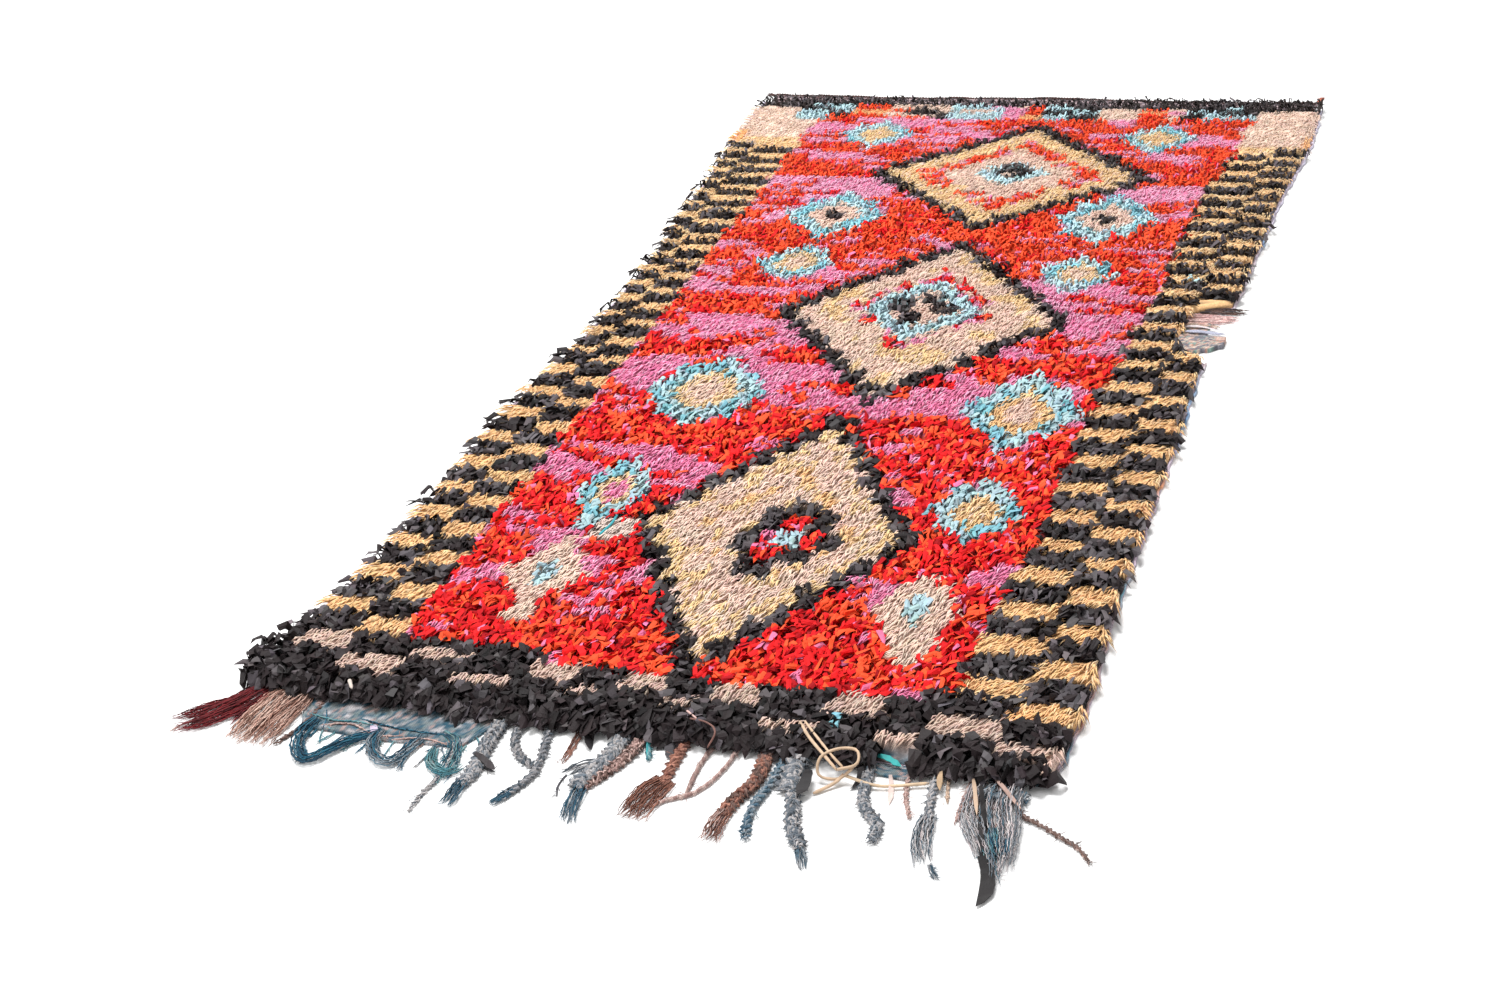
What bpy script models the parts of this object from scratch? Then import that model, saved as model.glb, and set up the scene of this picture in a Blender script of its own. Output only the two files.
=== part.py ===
"""Boucherouite rug: a knotted rag-pile rug lying flat on the floor, in metres, +Z up.

The origin is on the floor under the middle of the rug. +Y runs along the rug, from the fringed front end to the
plain back end, and +X is to the right of someone who stands at the front end and looks along it.

The rug has four woven or tied pieces, and each is one closed solid:
rug_body       the pile and its ground weave, a lumpy flat slab with locks of pile round its rim
front_fringe   the woven end at the front with its knotted and loose warp tassels, fused at their roots
back_end       the plain woven end behind the pile, with its twisted edge cord and the cord's two tails
torn_wefts     the loose wefts that stand out of a worn notch in the right-hand edge
"""

import math
import random
from collections import namedtuple

import bpy
from mathutils import Vector

FORWARD = Vector((0.0, -1.0))

# Ground outline of the pile
FRONT_Y = -1.100
BACK_Y = 1.088
Edge = namedtuple("Edge", "y left right")
EDGES = (
    Edge(FRONT_Y, -0.622, 0.612),
    Edge(-1.02, -0.630, 0.618),
    Edge(-0.93, -0.606, 0.620),
    Edge(-0.70, -0.580, 0.606),
    Edge(-0.30, -0.580, 0.598),
    Edge(0.00, -0.552, 0.588),
    Edge(0.30, -0.550, 0.602),
    Edge(0.62, -0.574, 0.606),
    Edge(0.92, -0.596, 0.622),
    Edge(BACK_Y, -0.600, 0.616),
)

# Worn notch in the right-hand edge, between these two places along the rug
NOTCH_FROM = 0.112
NOTCH_TO = 0.206
NOTCH_FLARE = 0.034
NOTCH_X = 0.546

# Pile
PILE = 0.021
FRONT_EXTRA = 0.006
FRONT_BAND = 0.16
CORNER_EXTRA = 0.006
CORNER_REACH = 0.20
LUMP = 0.0028
SWELL = 0.0022
SWELL_LONG = (3.1, 2.3, 0.0)
SWELL_SHORT = (-1.9, 4.7, 0.6)
ACROSS = 36
FRONT_ROWS = 33
NOTCH_ROWS = 3
BACK_ROWS = 24

# Rim of the pile
SHOULDER_IN = 0.012
SHOULDER_SHARE = 0.74
OVERHANG_Z = 0.0045
VALLEY_OUT = 0.004
VALLEY_Z = 0.0062
LOCK_OUT = (0.009, 0.018)
LOCK_Z = (0.0065, 0.0095)
LOCK_SWAY = 0.006

# Woven ends and their gaps to the pile's ground weave
GAP = 0.0003
WEAVE = 0.0030
WEAVE_LIFT = 0.0004
END_STATIONS = 40
FRONT_END_DEPTH = 0.020
FRONT_END_INSET = 0.014
BARE_FROM = -0.545
BARE_TO = -0.195
BARE_EASE = 0.05
BARE_EXTRA = 0.026
FRONT_WAVE = 0.003
FRONT_WAVES = 31.0
BACK_DEPTH = 0.036
BACK_WAVE = 0.004
BACK_WAVES = 9.0
BACK_START = 1.2
CORD = 0.0060
CORD_CREST = ((0.2, 0.5), (-0.4, 1.0))

# Warp tassels: where each leaves the front end, two places that it passes and its tip, seen from above, its width and
# height, the share of its width left at the tip, and how many times wider its lower half is
Tassel = namedtuple("Tassel", "name x mid_x mid_y low_x low_y tip_x tip_y width height tip club")
TASSELS = (
    Tassel("maroon_hank", -0.586, -0.604, -1.143, -0.632, -1.176, -0.678, -1.218, 0.040, 0.012, 0.9, 1.25),
    Tassel("rose_hank", -0.532, -0.538, -1.145, -0.545, -1.188, -0.548, -1.240, 0.072, 0.013, 0.5, 1.05),
    Tassel("brown_stray", -0.478, -0.479, -1.145, -0.485, -1.186, -0.504, -1.228, 0.010, 0.006, 0.6, 1.0),
    Tassel("blue_loop_left", -0.464, -0.472, -1.166, -0.466, -1.206, -0.440, -1.242, 0.017, 0.010, 0.8, 1.0),
    Tassel("blue_loop_right", -0.384, -0.384, -1.164, -0.408, -1.202, -0.438, -1.240, 0.018, 0.010, 0.8, 1.0),
    Tassel("blue_coil_left", -0.338, -0.345, -1.160, -0.345, -1.192, -0.322, -1.226, 0.013, 0.009, 0.7, 1.0),
    Tassel("blue_coil_right", -0.316, -0.312, -1.160, -0.308, -1.190, -0.321, -1.223, 0.011, 0.008, 0.8, 1.0),
    Tassel("blue_fray", -0.288, -0.290, -1.150, -0.292, -1.196, -0.284, -1.246, 0.016, 0.007, 0.2, 1.0),
    Tassel("grey_tail", -0.256, -0.250, -1.176, -0.236, -1.250, -0.237, -1.322, 0.008, 0.005, 1.4, 1.0),
    Tassel("teal_strip", -0.238, -0.232, -1.150, -0.222, -1.200, -0.218, -1.272, 0.016, 0.008, 0.6, 1.6),
    Tassel("grey_braid", -0.184, -0.183, -1.160, -0.178, -1.226, -0.183, -1.302, 0.022, 0.014, 0.4, 1.05),
    Tassel("fork_left", -0.158, -0.150, -1.148, -0.130, -1.178, -0.096, -1.203, 0.015, 0.010, 0.8, 1.0),
    Tassel("fork_right", -0.111, -0.099, -1.158, -0.090, -1.206, -0.117, -1.278, 0.016, 0.011, 0.5, 1.0),
    Tassel("stub_fray", -0.066, -0.064, -1.138, -0.061, -1.162, -0.063, -1.187, 0.008, 0.005, 0.5, 1.0),
    Tassel("twin_grey", 0.018, 0.012, -1.155, -0.012, -1.220, 0.003, -1.304, 0.040, 0.016, 0.2, 0.85),
    Tassel("teal_tag", 0.044, 0.046, -1.126, 0.052, -1.142, 0.060, -1.158, 0.011, 0.006, 1.1, 1.0),
    Tassel("rust_club", 0.098, 0.097, -1.158, 0.098, -1.204, 0.079, -1.276, 0.018, 0.014, 0.8, 2.1),
    Tassel("rose_fork_left", 0.139, 0.135, -1.150, 0.134, -1.182, 0.138, -1.216, 0.014, 0.009, 0.9, 1.0),
    Tassel("rose_fork_right", 0.174, 0.170, -1.155, 0.148, -1.208, 0.097, -1.250, 0.013, 0.009, 0.8, 1.0),
    Tassel("rust_braid", 0.218, 0.224, -1.168, 0.209, -1.216, 0.203, -1.300, 0.020, 0.014, 0.7, 1.2),
    Tassel("blue_grey", 0.247, 0.246, -1.165, 0.238, -1.230, 0.251, -1.288, 0.015, 0.011, 0.4, 1.2),
    Tassel("knotted_grey", 0.277, 0.278, -1.175, 0.300, -1.245, 0.344, -1.322, 0.030, 0.014, 0.1, 0.8),
    Tassel("grey_kink", 0.366, 0.376, -1.174, 0.408, -1.216, 0.416, -1.261, 0.018, 0.012, 0.6, 1.0),
    Tassel("rose_strand", 0.420, 0.426, -1.140, 0.438, -1.172, 0.450, -1.203, 0.009, 0.005, 0.8, 1.0),
    Tassel("grey_long", 0.456, 0.465, -1.165, 0.478, -1.235, 0.496, -1.292, 0.014, 0.012, 0.8, 1.7),
    Tassel("sand_strand", 0.478, 0.479, -1.130, 0.483, -1.148, 0.488, -1.164, 0.008, 0.005, 0.8, 1.0),
    Tassel("side_strand", 0.507, 0.506, -1.140, 0.506, -1.170, 0.509, -1.203, 0.009, 0.005, 0.6, 1.0),
    Tassel("corner_bundle", 0.552, 0.556, -1.165, 0.574, -1.225, 0.594, -1.288, 0.060, 0.018, 0.55, 0.95),
    Tassel("black_tail", 0.560, 0.562, -1.180, 0.578, -1.268, 0.580, -1.343, 0.020, 0.006, 0.4, 1.0),
    Tassel("brown_braid", 0.589, 0.600, -1.148, 0.650, -1.192, 0.702, -1.240, 0.011, 0.009, 0.6, 1.0),
)
ROOT_IN = 0.010
ROOT_HEIGHT = 0.0034
SWELL_FROM = 0.020
SWELL_OVER = 0.026
CLUB_FROM = 0.35
CLUB_OVER = 0.30
TAPER_FROM = 0.70
LOWER_HEIGHT = 0.6
TOP_SHARE = 0.56
STEP = 0.016
CURVE_STEPS = 12

# Tails of the back end's cord: the corner each leaves, its heading from the front, its length, width and height
Tail = namedtuple("Tail", "name x heading length width height")
TAILS = (
    Tail("left_tail", -0.582, -112, 0.034, 0.006, 0.005),
    Tail("right_tail", 0.598, 164, 0.040, 0.008, 0.006),
)
TAIL_TIP = 0.5

# Torn wefts: how far along the rug each leaves the notch, its length, heading, width and height
Weft = namedtuple("Weft", "name y length heading width height")
WEFTS = (
    Weft("dark_frayed", 0.193, 0.074, 96, 0.008, 0.004),
    Weft("rose_long", 0.182, 0.064, 88, 0.007, 0.004),
    Weft("rose_mid", 0.171, 0.070, 84, 0.007, 0.004),
    Weft("sand_short", 0.161, 0.052, 90, 0.006, 0.003),
    Weft("grey_ribbon", 0.150, 0.066, 94, 0.009, 0.003),
    Weft("white_ribbon", 0.138, 0.060, 86, 0.009, 0.003),
    Weft("mixed_stub", 0.127, 0.050, 90, 0.008, 0.004),
)
WEFT_STRIP = 0.014
WEFT_INSET = 0.008
WEFT_ROOT = 0.004
WEFT_TIP = 0.5

SEED = 11

# Each piece's material: its colour and roughness
Finish = namedtuple("Finish", "colour roughness")
FINISHES = {
    "rag_pile": Finish((0.62, 0.20, 0.14), 0.95),
    "warp_yarn": Finish((0.42, 0.47, 0.50), 0.90),
    "edge_cord": Finish((0.20, 0.14, 0.12), 0.90),
    "loose_weft": Finish((0.66, 0.55, 0.55), 0.90),
}


def smooth(share):
    """Eases a share from 0 to 1."""
    share = min(max(share, 0.0), 1.0)
    return share * share * (3 - 2 * share)


def mix(a, b, share):
    return a + (b - a) * share


def edge_at(y, column):
    """The ground outline's x at this y, eased between the rows of EDGES."""
    for low, high in zip(EDGES, EDGES[1:]):
        if y <= high.y or high is EDGES[-1]:
            share = (y - low.y) / (high.y - low.y)
            return mix(getattr(low, column), getattr(high, column), smooth(share))


def right_edge(y):
    """The right-hand outline with its worn notch."""
    full = edge_at(y, "right")
    below = smooth((y - NOTCH_FROM + NOTCH_FLARE) / NOTCH_FLARE)
    above = smooth((NOTCH_TO + NOTCH_FLARE - y) / NOTCH_FLARE)
    return mix(full, NOTCH_X, below * above)


def pile_height(x, y):
    """How high the pile stands here: taller over the rag rows at the front and at the front left corner."""
    front = 1 - smooth((y - FRONT_Y) / FRONT_BAND)
    corner = 1 - smooth(math.hypot(x - EDGES[0].left, y - FRONT_Y) / CORNER_REACH)
    swell = SWELL
    for across, along, start in (SWELL_LONG, SWELL_SHORT):
        swell *= math.sin(across * x + along * y + start)
    return PILE + FRONT_EXTRA * front + CORNER_EXTRA * corner + swell


def stretch(low, high, count):
    """count + 1 even places from low to high."""
    return [mix(low, high, k / count) for k in range(count + 1)]


def row_places():
    """Where the rows of the pile's grid lie, with rows exactly at both ends of the notch."""
    front = stretch(FRONT_Y + SHOULDER_IN, NOTCH_FROM, FRONT_ROWS)
    notch = stretch(NOTCH_FROM, NOTCH_TO, NOTCH_ROWS)
    back = stretch(NOTCH_TO, BACK_Y - SHOULDER_IN, BACK_ROWS)
    return front + notch[1:] + back[1:]


def cloth_material(name):
    finish = FINISHES[name]
    material = bpy.data.materials.new(name)
    material.use_nodes = True
    shader = material.node_tree.nodes["Principled BSDF"]
    shader.inputs["Base Color"].default_value = (*finish.colour, 1)
    shader.inputs["Roughness"].default_value = finish.roughness
    shader.inputs["Metallic"].default_value = 0.0
    return material


def add_solid(name, points, faces, material):
    mesh = bpy.data.meshes.new(name)
    mesh.from_pydata(points, [], faces)
    mesh.validate()
    mesh.materials.append(material)
    obj = bpy.data.objects.new(name, mesh)
    bpy.context.scene.collection.objects.link(obj)
    return obj


def build_rug_body(material):
    """The pile: a lumpy grid on top, a rim of tapering locks, and a flat underside on the floor."""
    draw = random.Random(SEED)
    rows = row_places()
    points = []
    faces = []

    def top_index(column, row):
        return row * (ACROSS + 1) + column

    last = len(rows) - 1
    for row, y in enumerate(rows):
        left = edge_at(y, "left") + SHOULDER_IN
        right = right_edge(y) - SHOULDER_IN
        for column in range(ACROSS + 1):
            x = mix(left, right, column / ACROSS)
            height = pile_height(x, y)
            if row in (0, last) or column in (0, ACROSS):
                height *= SHOULDER_SHARE
            points.append((x, y, height + draw.uniform(-LUMP, LUMP)))
    for row in range(last):
        for column in range(ACROSS):
            corners = ((column, row), (column + 1, row), (column + 1, row + 1), (column, row + 1))
            faces.append([top_index(*corner) for corner in corners])

    # The rim goes round once, anticlockwise from the front left corner
    rim = [((column, 0), (0, -1)) for column in range(ACROSS)]
    rim += [((ACROSS, row), (1, 0)) for row in range(last)]
    rim += [((column, last), (0, 1)) for column in range(ACROSS, 0, -1)]
    rim += [((0, row), (-1, 0)) for row in range(last, 0, -1)]
    corner_ways = {(0, 0): (-1, -1), (ACROSS, 0): (1, -1), (ACROSS, last): (1, 1), (0, last): (-1, 1)}
    shoulder = [top_index(*place) for place, _ in rim]
    count = len(rim)
    floor = len(points)
    step = floor + count
    valley = step + count
    tip = valley + count
    outs = [corner_ways.get(place, way) for place, way in rim]
    for z in (0.0, OVERHANG_Z):
        for index, (way_x, way_y) in zip(shoulder, outs):
            x, y, _ = points[index]
            points.append((x + way_x * SHOULDER_IN, y + way_y * SHOULDER_IN, z))
    for index, (way_x, way_y) in zip(shoulder, outs):
        x, y, _ = points[index]
        out = SHOULDER_IN + VALLEY_OUT
        points.append((x + way_x * out, y + way_y * out, VALLEY_Z))
    for k, (_, (way_x, way_y)) in enumerate(rim):
        x0, y0, _ = points[floor + k]
        x1, y1, _ = points[floor + (k + 1) % count]
        out = draw.uniform(*LOCK_OUT)
        sway = draw.uniform(-LOCK_SWAY, LOCK_SWAY)
        x = (x0 + x1) / 2 + way_x * out - way_y * sway
        y = (y0 + y1) / 2 + way_y * out + way_x * sway
        points.append((x, y, draw.uniform(*LOCK_Z)))
    for k in range(count):
        n = (k + 1) % count
        faces.append([shoulder[k], valley + k, tip + k])
        faces.append([shoulder[k], tip + k, shoulder[n]])
        faces.append([shoulder[n], tip + k, valley + n])
        faces.append([step + k, tip + k, valley + k])
        faces.append([step + k, step + n, tip + k])
        faces.append([step + n, valley + n, tip + k])
        faces.append([floor + k, floor + n, step + n, step + k])
    faces.append([floor + k for k in reversed(range(count))])
    return add_solid("rug_body", points, faces, material)


def sweep_faces(stations, sides):
    """Faces of a tube whose points go round its section at each station, with both ends closed."""
    faces = [list(reversed(range(sides)))]
    for station in range(stations - 1):
        for side in range(sides):
            a = station * sides + side
            b = station * sides + (side + 1) % sides
            faces.append([a, b, b + sides, a + sides])
    last = (stations - 1) * sides
    faces.append([last + side for side in range(sides)])
    return faces


def smooth_route(places, root_pull):
    """A smooth curve through the places, as even steps of about STEP. It starts along root_pull."""
    places = [Vector(place) for place in places]
    last = len(places) - 1
    pulls = [Vector(root_pull)]
    pulls += [(places[k + 1] - places[k - 1]) / 2 for k in range(1, last)]
    pulls.append(places[last] - places[last - 1])
    curve = [places[0]]
    for k in range(last):
        for step in range(1, CURVE_STEPS + 1):
            t = step / CURVE_STEPS
            ease = smooth(t)
            near = t * (1 - t) ** 2
            far = t * t * (t - 1)
            curve.append(places[k].lerp(places[k + 1], ease) + pulls[k] * near + pulls[k + 1] * far)
    along = [0.0]
    for here, there in zip(curve, curve[1:]):
        along.append(along[-1] + (there - here).length)
    count = max(3, round(along[-1] / STEP))
    route = []
    k = 0
    for station in range(count + 1):
        wanted = along[-1] * station / count
        while k < len(curve) - 2 and along[k + 1] < wanted:
            k += 1
        route.append(curve[k].lerp(curve[k + 1], (wanted - along[k]) / (along[k + 1] - along[k])))
    return route, along[-1]


def strand(route, root_way, size_at):
    """A strand of four sides that lies level on the floor along the route, cut square to root_way at its root.
    size_at takes the share of its length and gives its half width, lowest and highest point."""
    points = []
    last = len(route) - 1
    for k, place in enumerate(route):
        way = root_way if k == 0 else (route[min(k + 1, last)] - route[k - 1]).normalized()
        half, low, high = size_at(k / last)
        for across, z in ((-half, low), (half, low), (half * TOP_SHARE, high), (-half * TOP_SHARE, high)):
            points.append((place.x - way.y * across, place.y + way.x * across, z))
    return points, sweep_faces(len(route), 4)


def tassel_shape(tassel):
    """The points and faces of one warp tassel. It leaves the weave square to it and thin, under the pile's locks,
    and swells beyond them."""
    root = (tassel.x, FRONT_Y - ROOT_IN)
    places = (root, (tassel.mid_x, tassel.mid_y), (tassel.low_x, tassel.low_y), (tassel.tip_x, tassel.tip_y))
    route, length = smooth_route(places, FORWARD * (root[1] - tassel.mid_y))

    def size_at(share):
        full = smooth((share * length - SWELL_FROM) / SWELL_OVER)
        spread = mix(1.0, tassel.club, smooth((share - CLUB_FROM) / CLUB_OVER))
        taper = mix(1.0, tassel.tip, smooth((share - TAPER_FROM) / (1 - TAPER_FROM)))
        height = mix(min(ROOT_HEIGHT, tassel.height), tassel.height * mix(1.0, LOWER_HEIGHT, smooth(share)), full)
        return tassel.width / 2 * spread * taper, 0.0, height

    return strand(route, FORWARD, size_at)


def straight_shape(start, heading, length, size_at):
    """The points and faces of a straight strand. Its heading is in degrees, 0 to the front and + to the right."""
    way = Vector((math.sin(math.radians(heading)), -math.cos(math.radians(heading))))
    count = max(3, round(length / STEP))
    route = [Vector(start) + way * reach for reach in stretch(0.0, length, count)]
    return strand(route, way, size_at)


def fuse(base, shapes):
    """Joins the shapes to base with one Boolean union."""
    strands = bpy.data.collections.new(base.name + "_strands")
    bpy.context.scene.collection.children.link(strands)
    for name, (points, faces) in shapes:
        mesh = bpy.data.meshes.new(name)
        mesh.from_pydata(points, [], faces)
        guide = bpy.data.objects.new(name, mesh)
        guide.hide_render = True
        guide.display_type = "WIRE"
        strands.objects.link(guide)
    union = base.modifiers.new("roots", "BOOLEAN")
    union.operation = "UNION"
    union.operand_type = "COLLECTION"
    union.collection = strands
    union.solver = "EXACT"


def front_depth(x):
    """How far the front end's weave reaches: it lies bare along one stretch."""
    bare = smooth((x - BARE_FROM) / BARE_EASE) * smooth((BARE_TO - x) / BARE_EASE)
    return FRONT_END_DEPTH + BARE_EXTRA * bare + FRONT_WAVE * math.sin(FRONT_WAVES * x)


def build_front_fringe(material):
    """The front end's narrow woven strip, with every warp tassel fused to it at its root."""
    low = EDGES[0].left + FRONT_END_INSET
    high = EDGES[0].right - FRONT_END_INSET
    points = []
    for x in stretch(low, high, END_STATIONS):
        back = FRONT_Y - GAP
        front = FRONT_Y - front_depth(x)
        top = WEAVE_LIFT + WEAVE
        points += [(x, back, WEAVE_LIFT), (x, back, top), (x, front, top), (x, front, WEAVE_LIFT)]
    strip = add_solid("front_fringe", points, sweep_faces(END_STATIONS + 1, 4), material)
    fuse(strip, [(tassel.name, tassel_shape(tassel)) for tassel in TASSELS])
    return strip


def build_back_end(material):
    """The back end's plain weave, with a twisted cord raised along its edge and a tail at each corner."""
    low = EDGES[-1].left + FRONT_END_INSET
    high = EDGES[-1].right - FRONT_END_INSET
    points = []
    for x in stretch(low, high, END_STATIONS):
        inner = BACK_Y + GAP
        outer = BACK_Y + BACK_DEPTH + BACK_WAVE * math.sin(BACK_WAVES * x + BACK_START)
        section = [(inner, 0.0), (outer, 0.0)]
        section += [(outer + CORD * out, CORD * up) for out, up in CORD_CREST]
        section += [(outer - CORD, WEAVE), (inner, WEAVE)]
        points += [(x, y, z) for y, z in section]
    strip = add_solid("back_end", points, sweep_faces(END_STATIONS + 1, 6), material)
    tails = []
    for tail in TAILS:

        def size_at(share, tail=tail):
            return mix(tail.width, tail.width * TAIL_TIP, share) / 2, WEAVE_LIFT, tail.height

        start = (tail.x, BACK_Y + BACK_DEPTH - CORD)
        tails.append((tail.name, straight_shape(start, tail.heading, tail.length, size_at)))
    fuse(strip, tails)
    return strip


def build_torn_wefts(material):
    """The worn notch's strip of bare ground weave, with loose wefts fused to it."""
    inner = NOTCH_X + GAP
    outer = inner + WEFT_STRIP
    low = NOTCH_FROM + WEFT_INSET
    high = NOTCH_TO - WEFT_INSET
    top = WEAVE_LIFT + WEAVE
    points = []
    for y in (low, high):
        points += [(inner, y, WEAVE_LIFT), (inner, y, top), (outer, y, top), (outer, y, WEAVE_LIFT)]
    # These sections run the other way round the strip than the woven ends' do, so the faces are turned
    strip = add_solid("torn_wefts", points, [face[::-1] for face in sweep_faces(2, 4)], material)
    shapes = []
    for weft in WEFTS:

        def size_at(share, weft=weft):
            return mix(weft.width, weft.width * WEFT_TIP, share) / 2, 0.0, weft.height

        start = (inner + WEFT_ROOT, weft.y)
        shapes.append((weft.name, straight_shape(start, weft.heading, weft.length, size_at)))
    fuse(strip, shapes)
    return strip


def main():
    for obj in list(bpy.data.objects):
        bpy.data.objects.remove(obj)
    build_rug_body(cloth_material("rag_pile"))
    build_front_fringe(cloth_material("warp_yarn"))
    build_back_end(cloth_material("edge_cord"))
    build_torn_wefts(cloth_material("loose_weft"))


main()
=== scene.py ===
"""Boucherouite rug: knotted rag and yarn pile in a charted pattern, on a woven ground, lying on a pale floor.

Everything is in metres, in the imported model's frame, apart from the tables of bundles and blocks, which are
in millimetres. The origin is on the floor under the middle of the rug, +Y runs from the tasselled front end to
the corded back end, and +Z is up. Chart places are where the pile's tips appear from the camera, because that
is how a rug's pattern is read off, and seen_from turns them into true places.
"""

import math
from collections import namedtuple

import bpy
import numpy as np
from mathutils import Matrix, Vector


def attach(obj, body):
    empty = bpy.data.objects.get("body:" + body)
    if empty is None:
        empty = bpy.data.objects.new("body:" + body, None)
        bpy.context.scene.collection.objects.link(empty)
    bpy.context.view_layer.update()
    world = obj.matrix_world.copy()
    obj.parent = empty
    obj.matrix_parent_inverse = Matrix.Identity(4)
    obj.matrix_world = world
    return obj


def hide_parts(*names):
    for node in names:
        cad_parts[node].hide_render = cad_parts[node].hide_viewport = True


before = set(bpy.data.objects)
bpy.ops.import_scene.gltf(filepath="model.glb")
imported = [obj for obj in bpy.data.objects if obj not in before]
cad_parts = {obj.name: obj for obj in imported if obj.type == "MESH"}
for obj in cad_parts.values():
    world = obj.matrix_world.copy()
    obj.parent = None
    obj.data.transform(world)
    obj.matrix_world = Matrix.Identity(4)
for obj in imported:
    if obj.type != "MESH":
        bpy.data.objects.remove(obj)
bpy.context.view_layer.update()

bl_info = {
    "name": "Boucherouite rug",
    "version": (1, 0, 0),
    "blender": (4, 5, 0),
    "location": "3D View > Sidebar > Rug",
    "description": "Ties a rag-pile rug with a charted pattern, a tasselled front end and a corded back end",
    "category": "Object",
}

BODY = "root"
SEED = 20611

# The camera stands where the photograph was taken from
CAMERA_PLACE = (1.32377, -3.36731, 1.93824)
CAMERA_RIGHT = (0.92716, 0.34981, -0.13418)
CAMERA_UP = (-0.07852, 0.53161, 0.84334)
CAMERA_BACK = (0.36634, -0.77138, 0.52036)
CAMERA_LENS = 55.58
CAMERA_SENSOR = 36.0
CAMERA_REACH = 60.0

# The height of the tips that the chart was read off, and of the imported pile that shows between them
CHART_HEIGHT = 0.016
UNDER_CHART_HEIGHT = 0.012

# Ground outline of the pile. Its edges are those of the CAD source, and its worn notch is a little wider and
# deeper than there.
Edge = namedtuple("Edge", "y left right")
EDGES = (
    Edge(-1.100, -0.622, 0.612),
    Edge(-1.020, -0.630, 0.618),
    Edge(-0.930, -0.606, 0.620),
    Edge(-0.700, -0.580, 0.606),
    Edge(-0.300, -0.580, 0.598),
    Edge(0.000, -0.552, 0.588),
    Edge(0.300, -0.550, 0.602),
    Edge(0.620, -0.574, 0.606),
    Edge(0.920, -0.596, 0.622),
    Edge(1.088, -0.600, 0.616),
)
FRONT_Y = EDGES[0].y
BACK_Y = EDGES[-1].y
NOTCH_FROM = 0.068
NOTCH_TO = 0.206
NOTCH_FLARE = 0.040
NOTCH_TOP_FLARE = 0.014
NOTCH_X = 0.532

# Middles of the gold bands in the inner border columns. Each band and each gap is two knot rows.
GOLD_BANDS = (
    (-1.118, -1.017, -0.918, -0.821, -0.731, -0.643, -0.560, -0.482, -0.396, -0.315)
    + (-0.230, -0.155, -0.073, 0.000, 0.073, 0.136, 0.199, 0.262, 0.320, 0.381)
    + (0.432, 0.494, 0.556, 0.608, 0.661, 0.719, 0.770, 0.819, 0.868, 0.917)
    + (0.964, 1.011, 1.057, 1.103, 1.149)
)
ROWS_PER_BAND = 4
ROW_SKEW = 0.02
ROW_SWAY = 0.012
FIRST_ROW_Y = -1.112
LAST_ROW_Y = 1.122

# Borders of the pattern's columns: y and the x of the border there
LEFT_COLUMNS = ((-1.0, -0.526), (-0.5, -0.518), (-0.2, -0.510), (0.3, -0.510), (0.55, -0.540), (1.0, -0.544))
LEFT_FIELD = ((-0.95, -0.446), (0.0, -0.440), (1.0, -0.447))
RIGHT_FIELD = ((-0.8, 0.426), (-0.5, 0.447), (-0.2, 0.430), (0.3, 0.456), (0.7, 0.453), (0.85, 0.478))
RIGHT_COLUMNS = ((-0.95, 0.528), (-0.2, 0.518), (0.3, 0.532), (0.9, 0.548))

# Where the pale blocks at the back begin in the borders, the right one's outer column apart, and where their
# straw rows end
LEFT_BLOCK_FROM = 0.870
RIGHT_BLOCK_FROM = 0.872
EDGE_BLOCK_FROM = 0.897
STRAW_TO = 0.905

# Yarns and rags by number
(BLACK, GOLD, STRAW, BEIGE, CREAM, RED, ORANGE, PINK, BLUE, TEAL, PEACH, WHITE, NONE) = range(13)

Yarn = namedtuple("Yarn", "number colour piece kind")
YARNS = (
    Yarn(BLACK, "black", "pile_black", "rag"),
    Yarn(GOLD, "gold", "pile_gold", "yarn"),
    Yarn(STRAW, "straw", "pile_cream", "yarn"),
    Yarn(BEIGE, "beige", "pile_cream", "yarn"),
    Yarn(CREAM, "cream", "pile_cream", "yarn"),
    Yarn(RED, "red", "pile_red", "rag"),
    Yarn(ORANGE, "orange", "pile_red", "rag"),
    Yarn(PINK, "pink", "pile_pink", "yarn"),
    Yarn(BLUE, "blue", "pile_blue", "rag"),
    Yarn(TEAL, "teal", "pile_blue", "rag"),
    Yarn(PEACH, "peach", "pile_gold", "yarn"),
    Yarn(WHITE, "white", "pile_pink", "yarn"),
)

# How a rag or a yarn tuft is cut: strands for each square metre, length, width and thickness, how far its
# heading strays, and how crumpled it is
Cut = namedtuple("Cut", "density length width thick stray crumple")
CUTS = {
    "pile_black": Cut(12000, 0.0255, 0.0098, 0.0015, 0.66, 0.0026),
    "pile_red": Cut(14200, 0.0265, 0.0074, 0.0012, 0.52, 0.0022),
    "pile_blue": Cut(17000, 0.0240, 0.0066, 0.0014, 0.42, 0.0018),
    "pile_gold": Cut(36000, 0.0285, 0.0029, 0.0020, 0.22, 0.0005),
    "pile_cream": Cut(32600, 0.0320, 0.0030, 0.0020, 0.20, 0.0005),
    "pile_pink": Cut(32200, 0.0300, 0.0030, 0.0020, 0.24, 0.0005),
}


def linear(value):
    """A screen value from 0 to 255 as the linear share that Blender keeps."""
    share = value / 255
    return share / 12.92 if value < 11 else ((share + 0.055) / 1.055) ** 2.4


def paint(red, green, blue):
    """A colour as it looks on a screen, 0 to 255, as the linear colour that Blender keeps."""
    return linear(red), linear(green), linear(blue)


def paints(palette):
    """A palette's colours as an array of linear ones."""
    return np.array([paint(*colour) for colour in palette])


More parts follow.
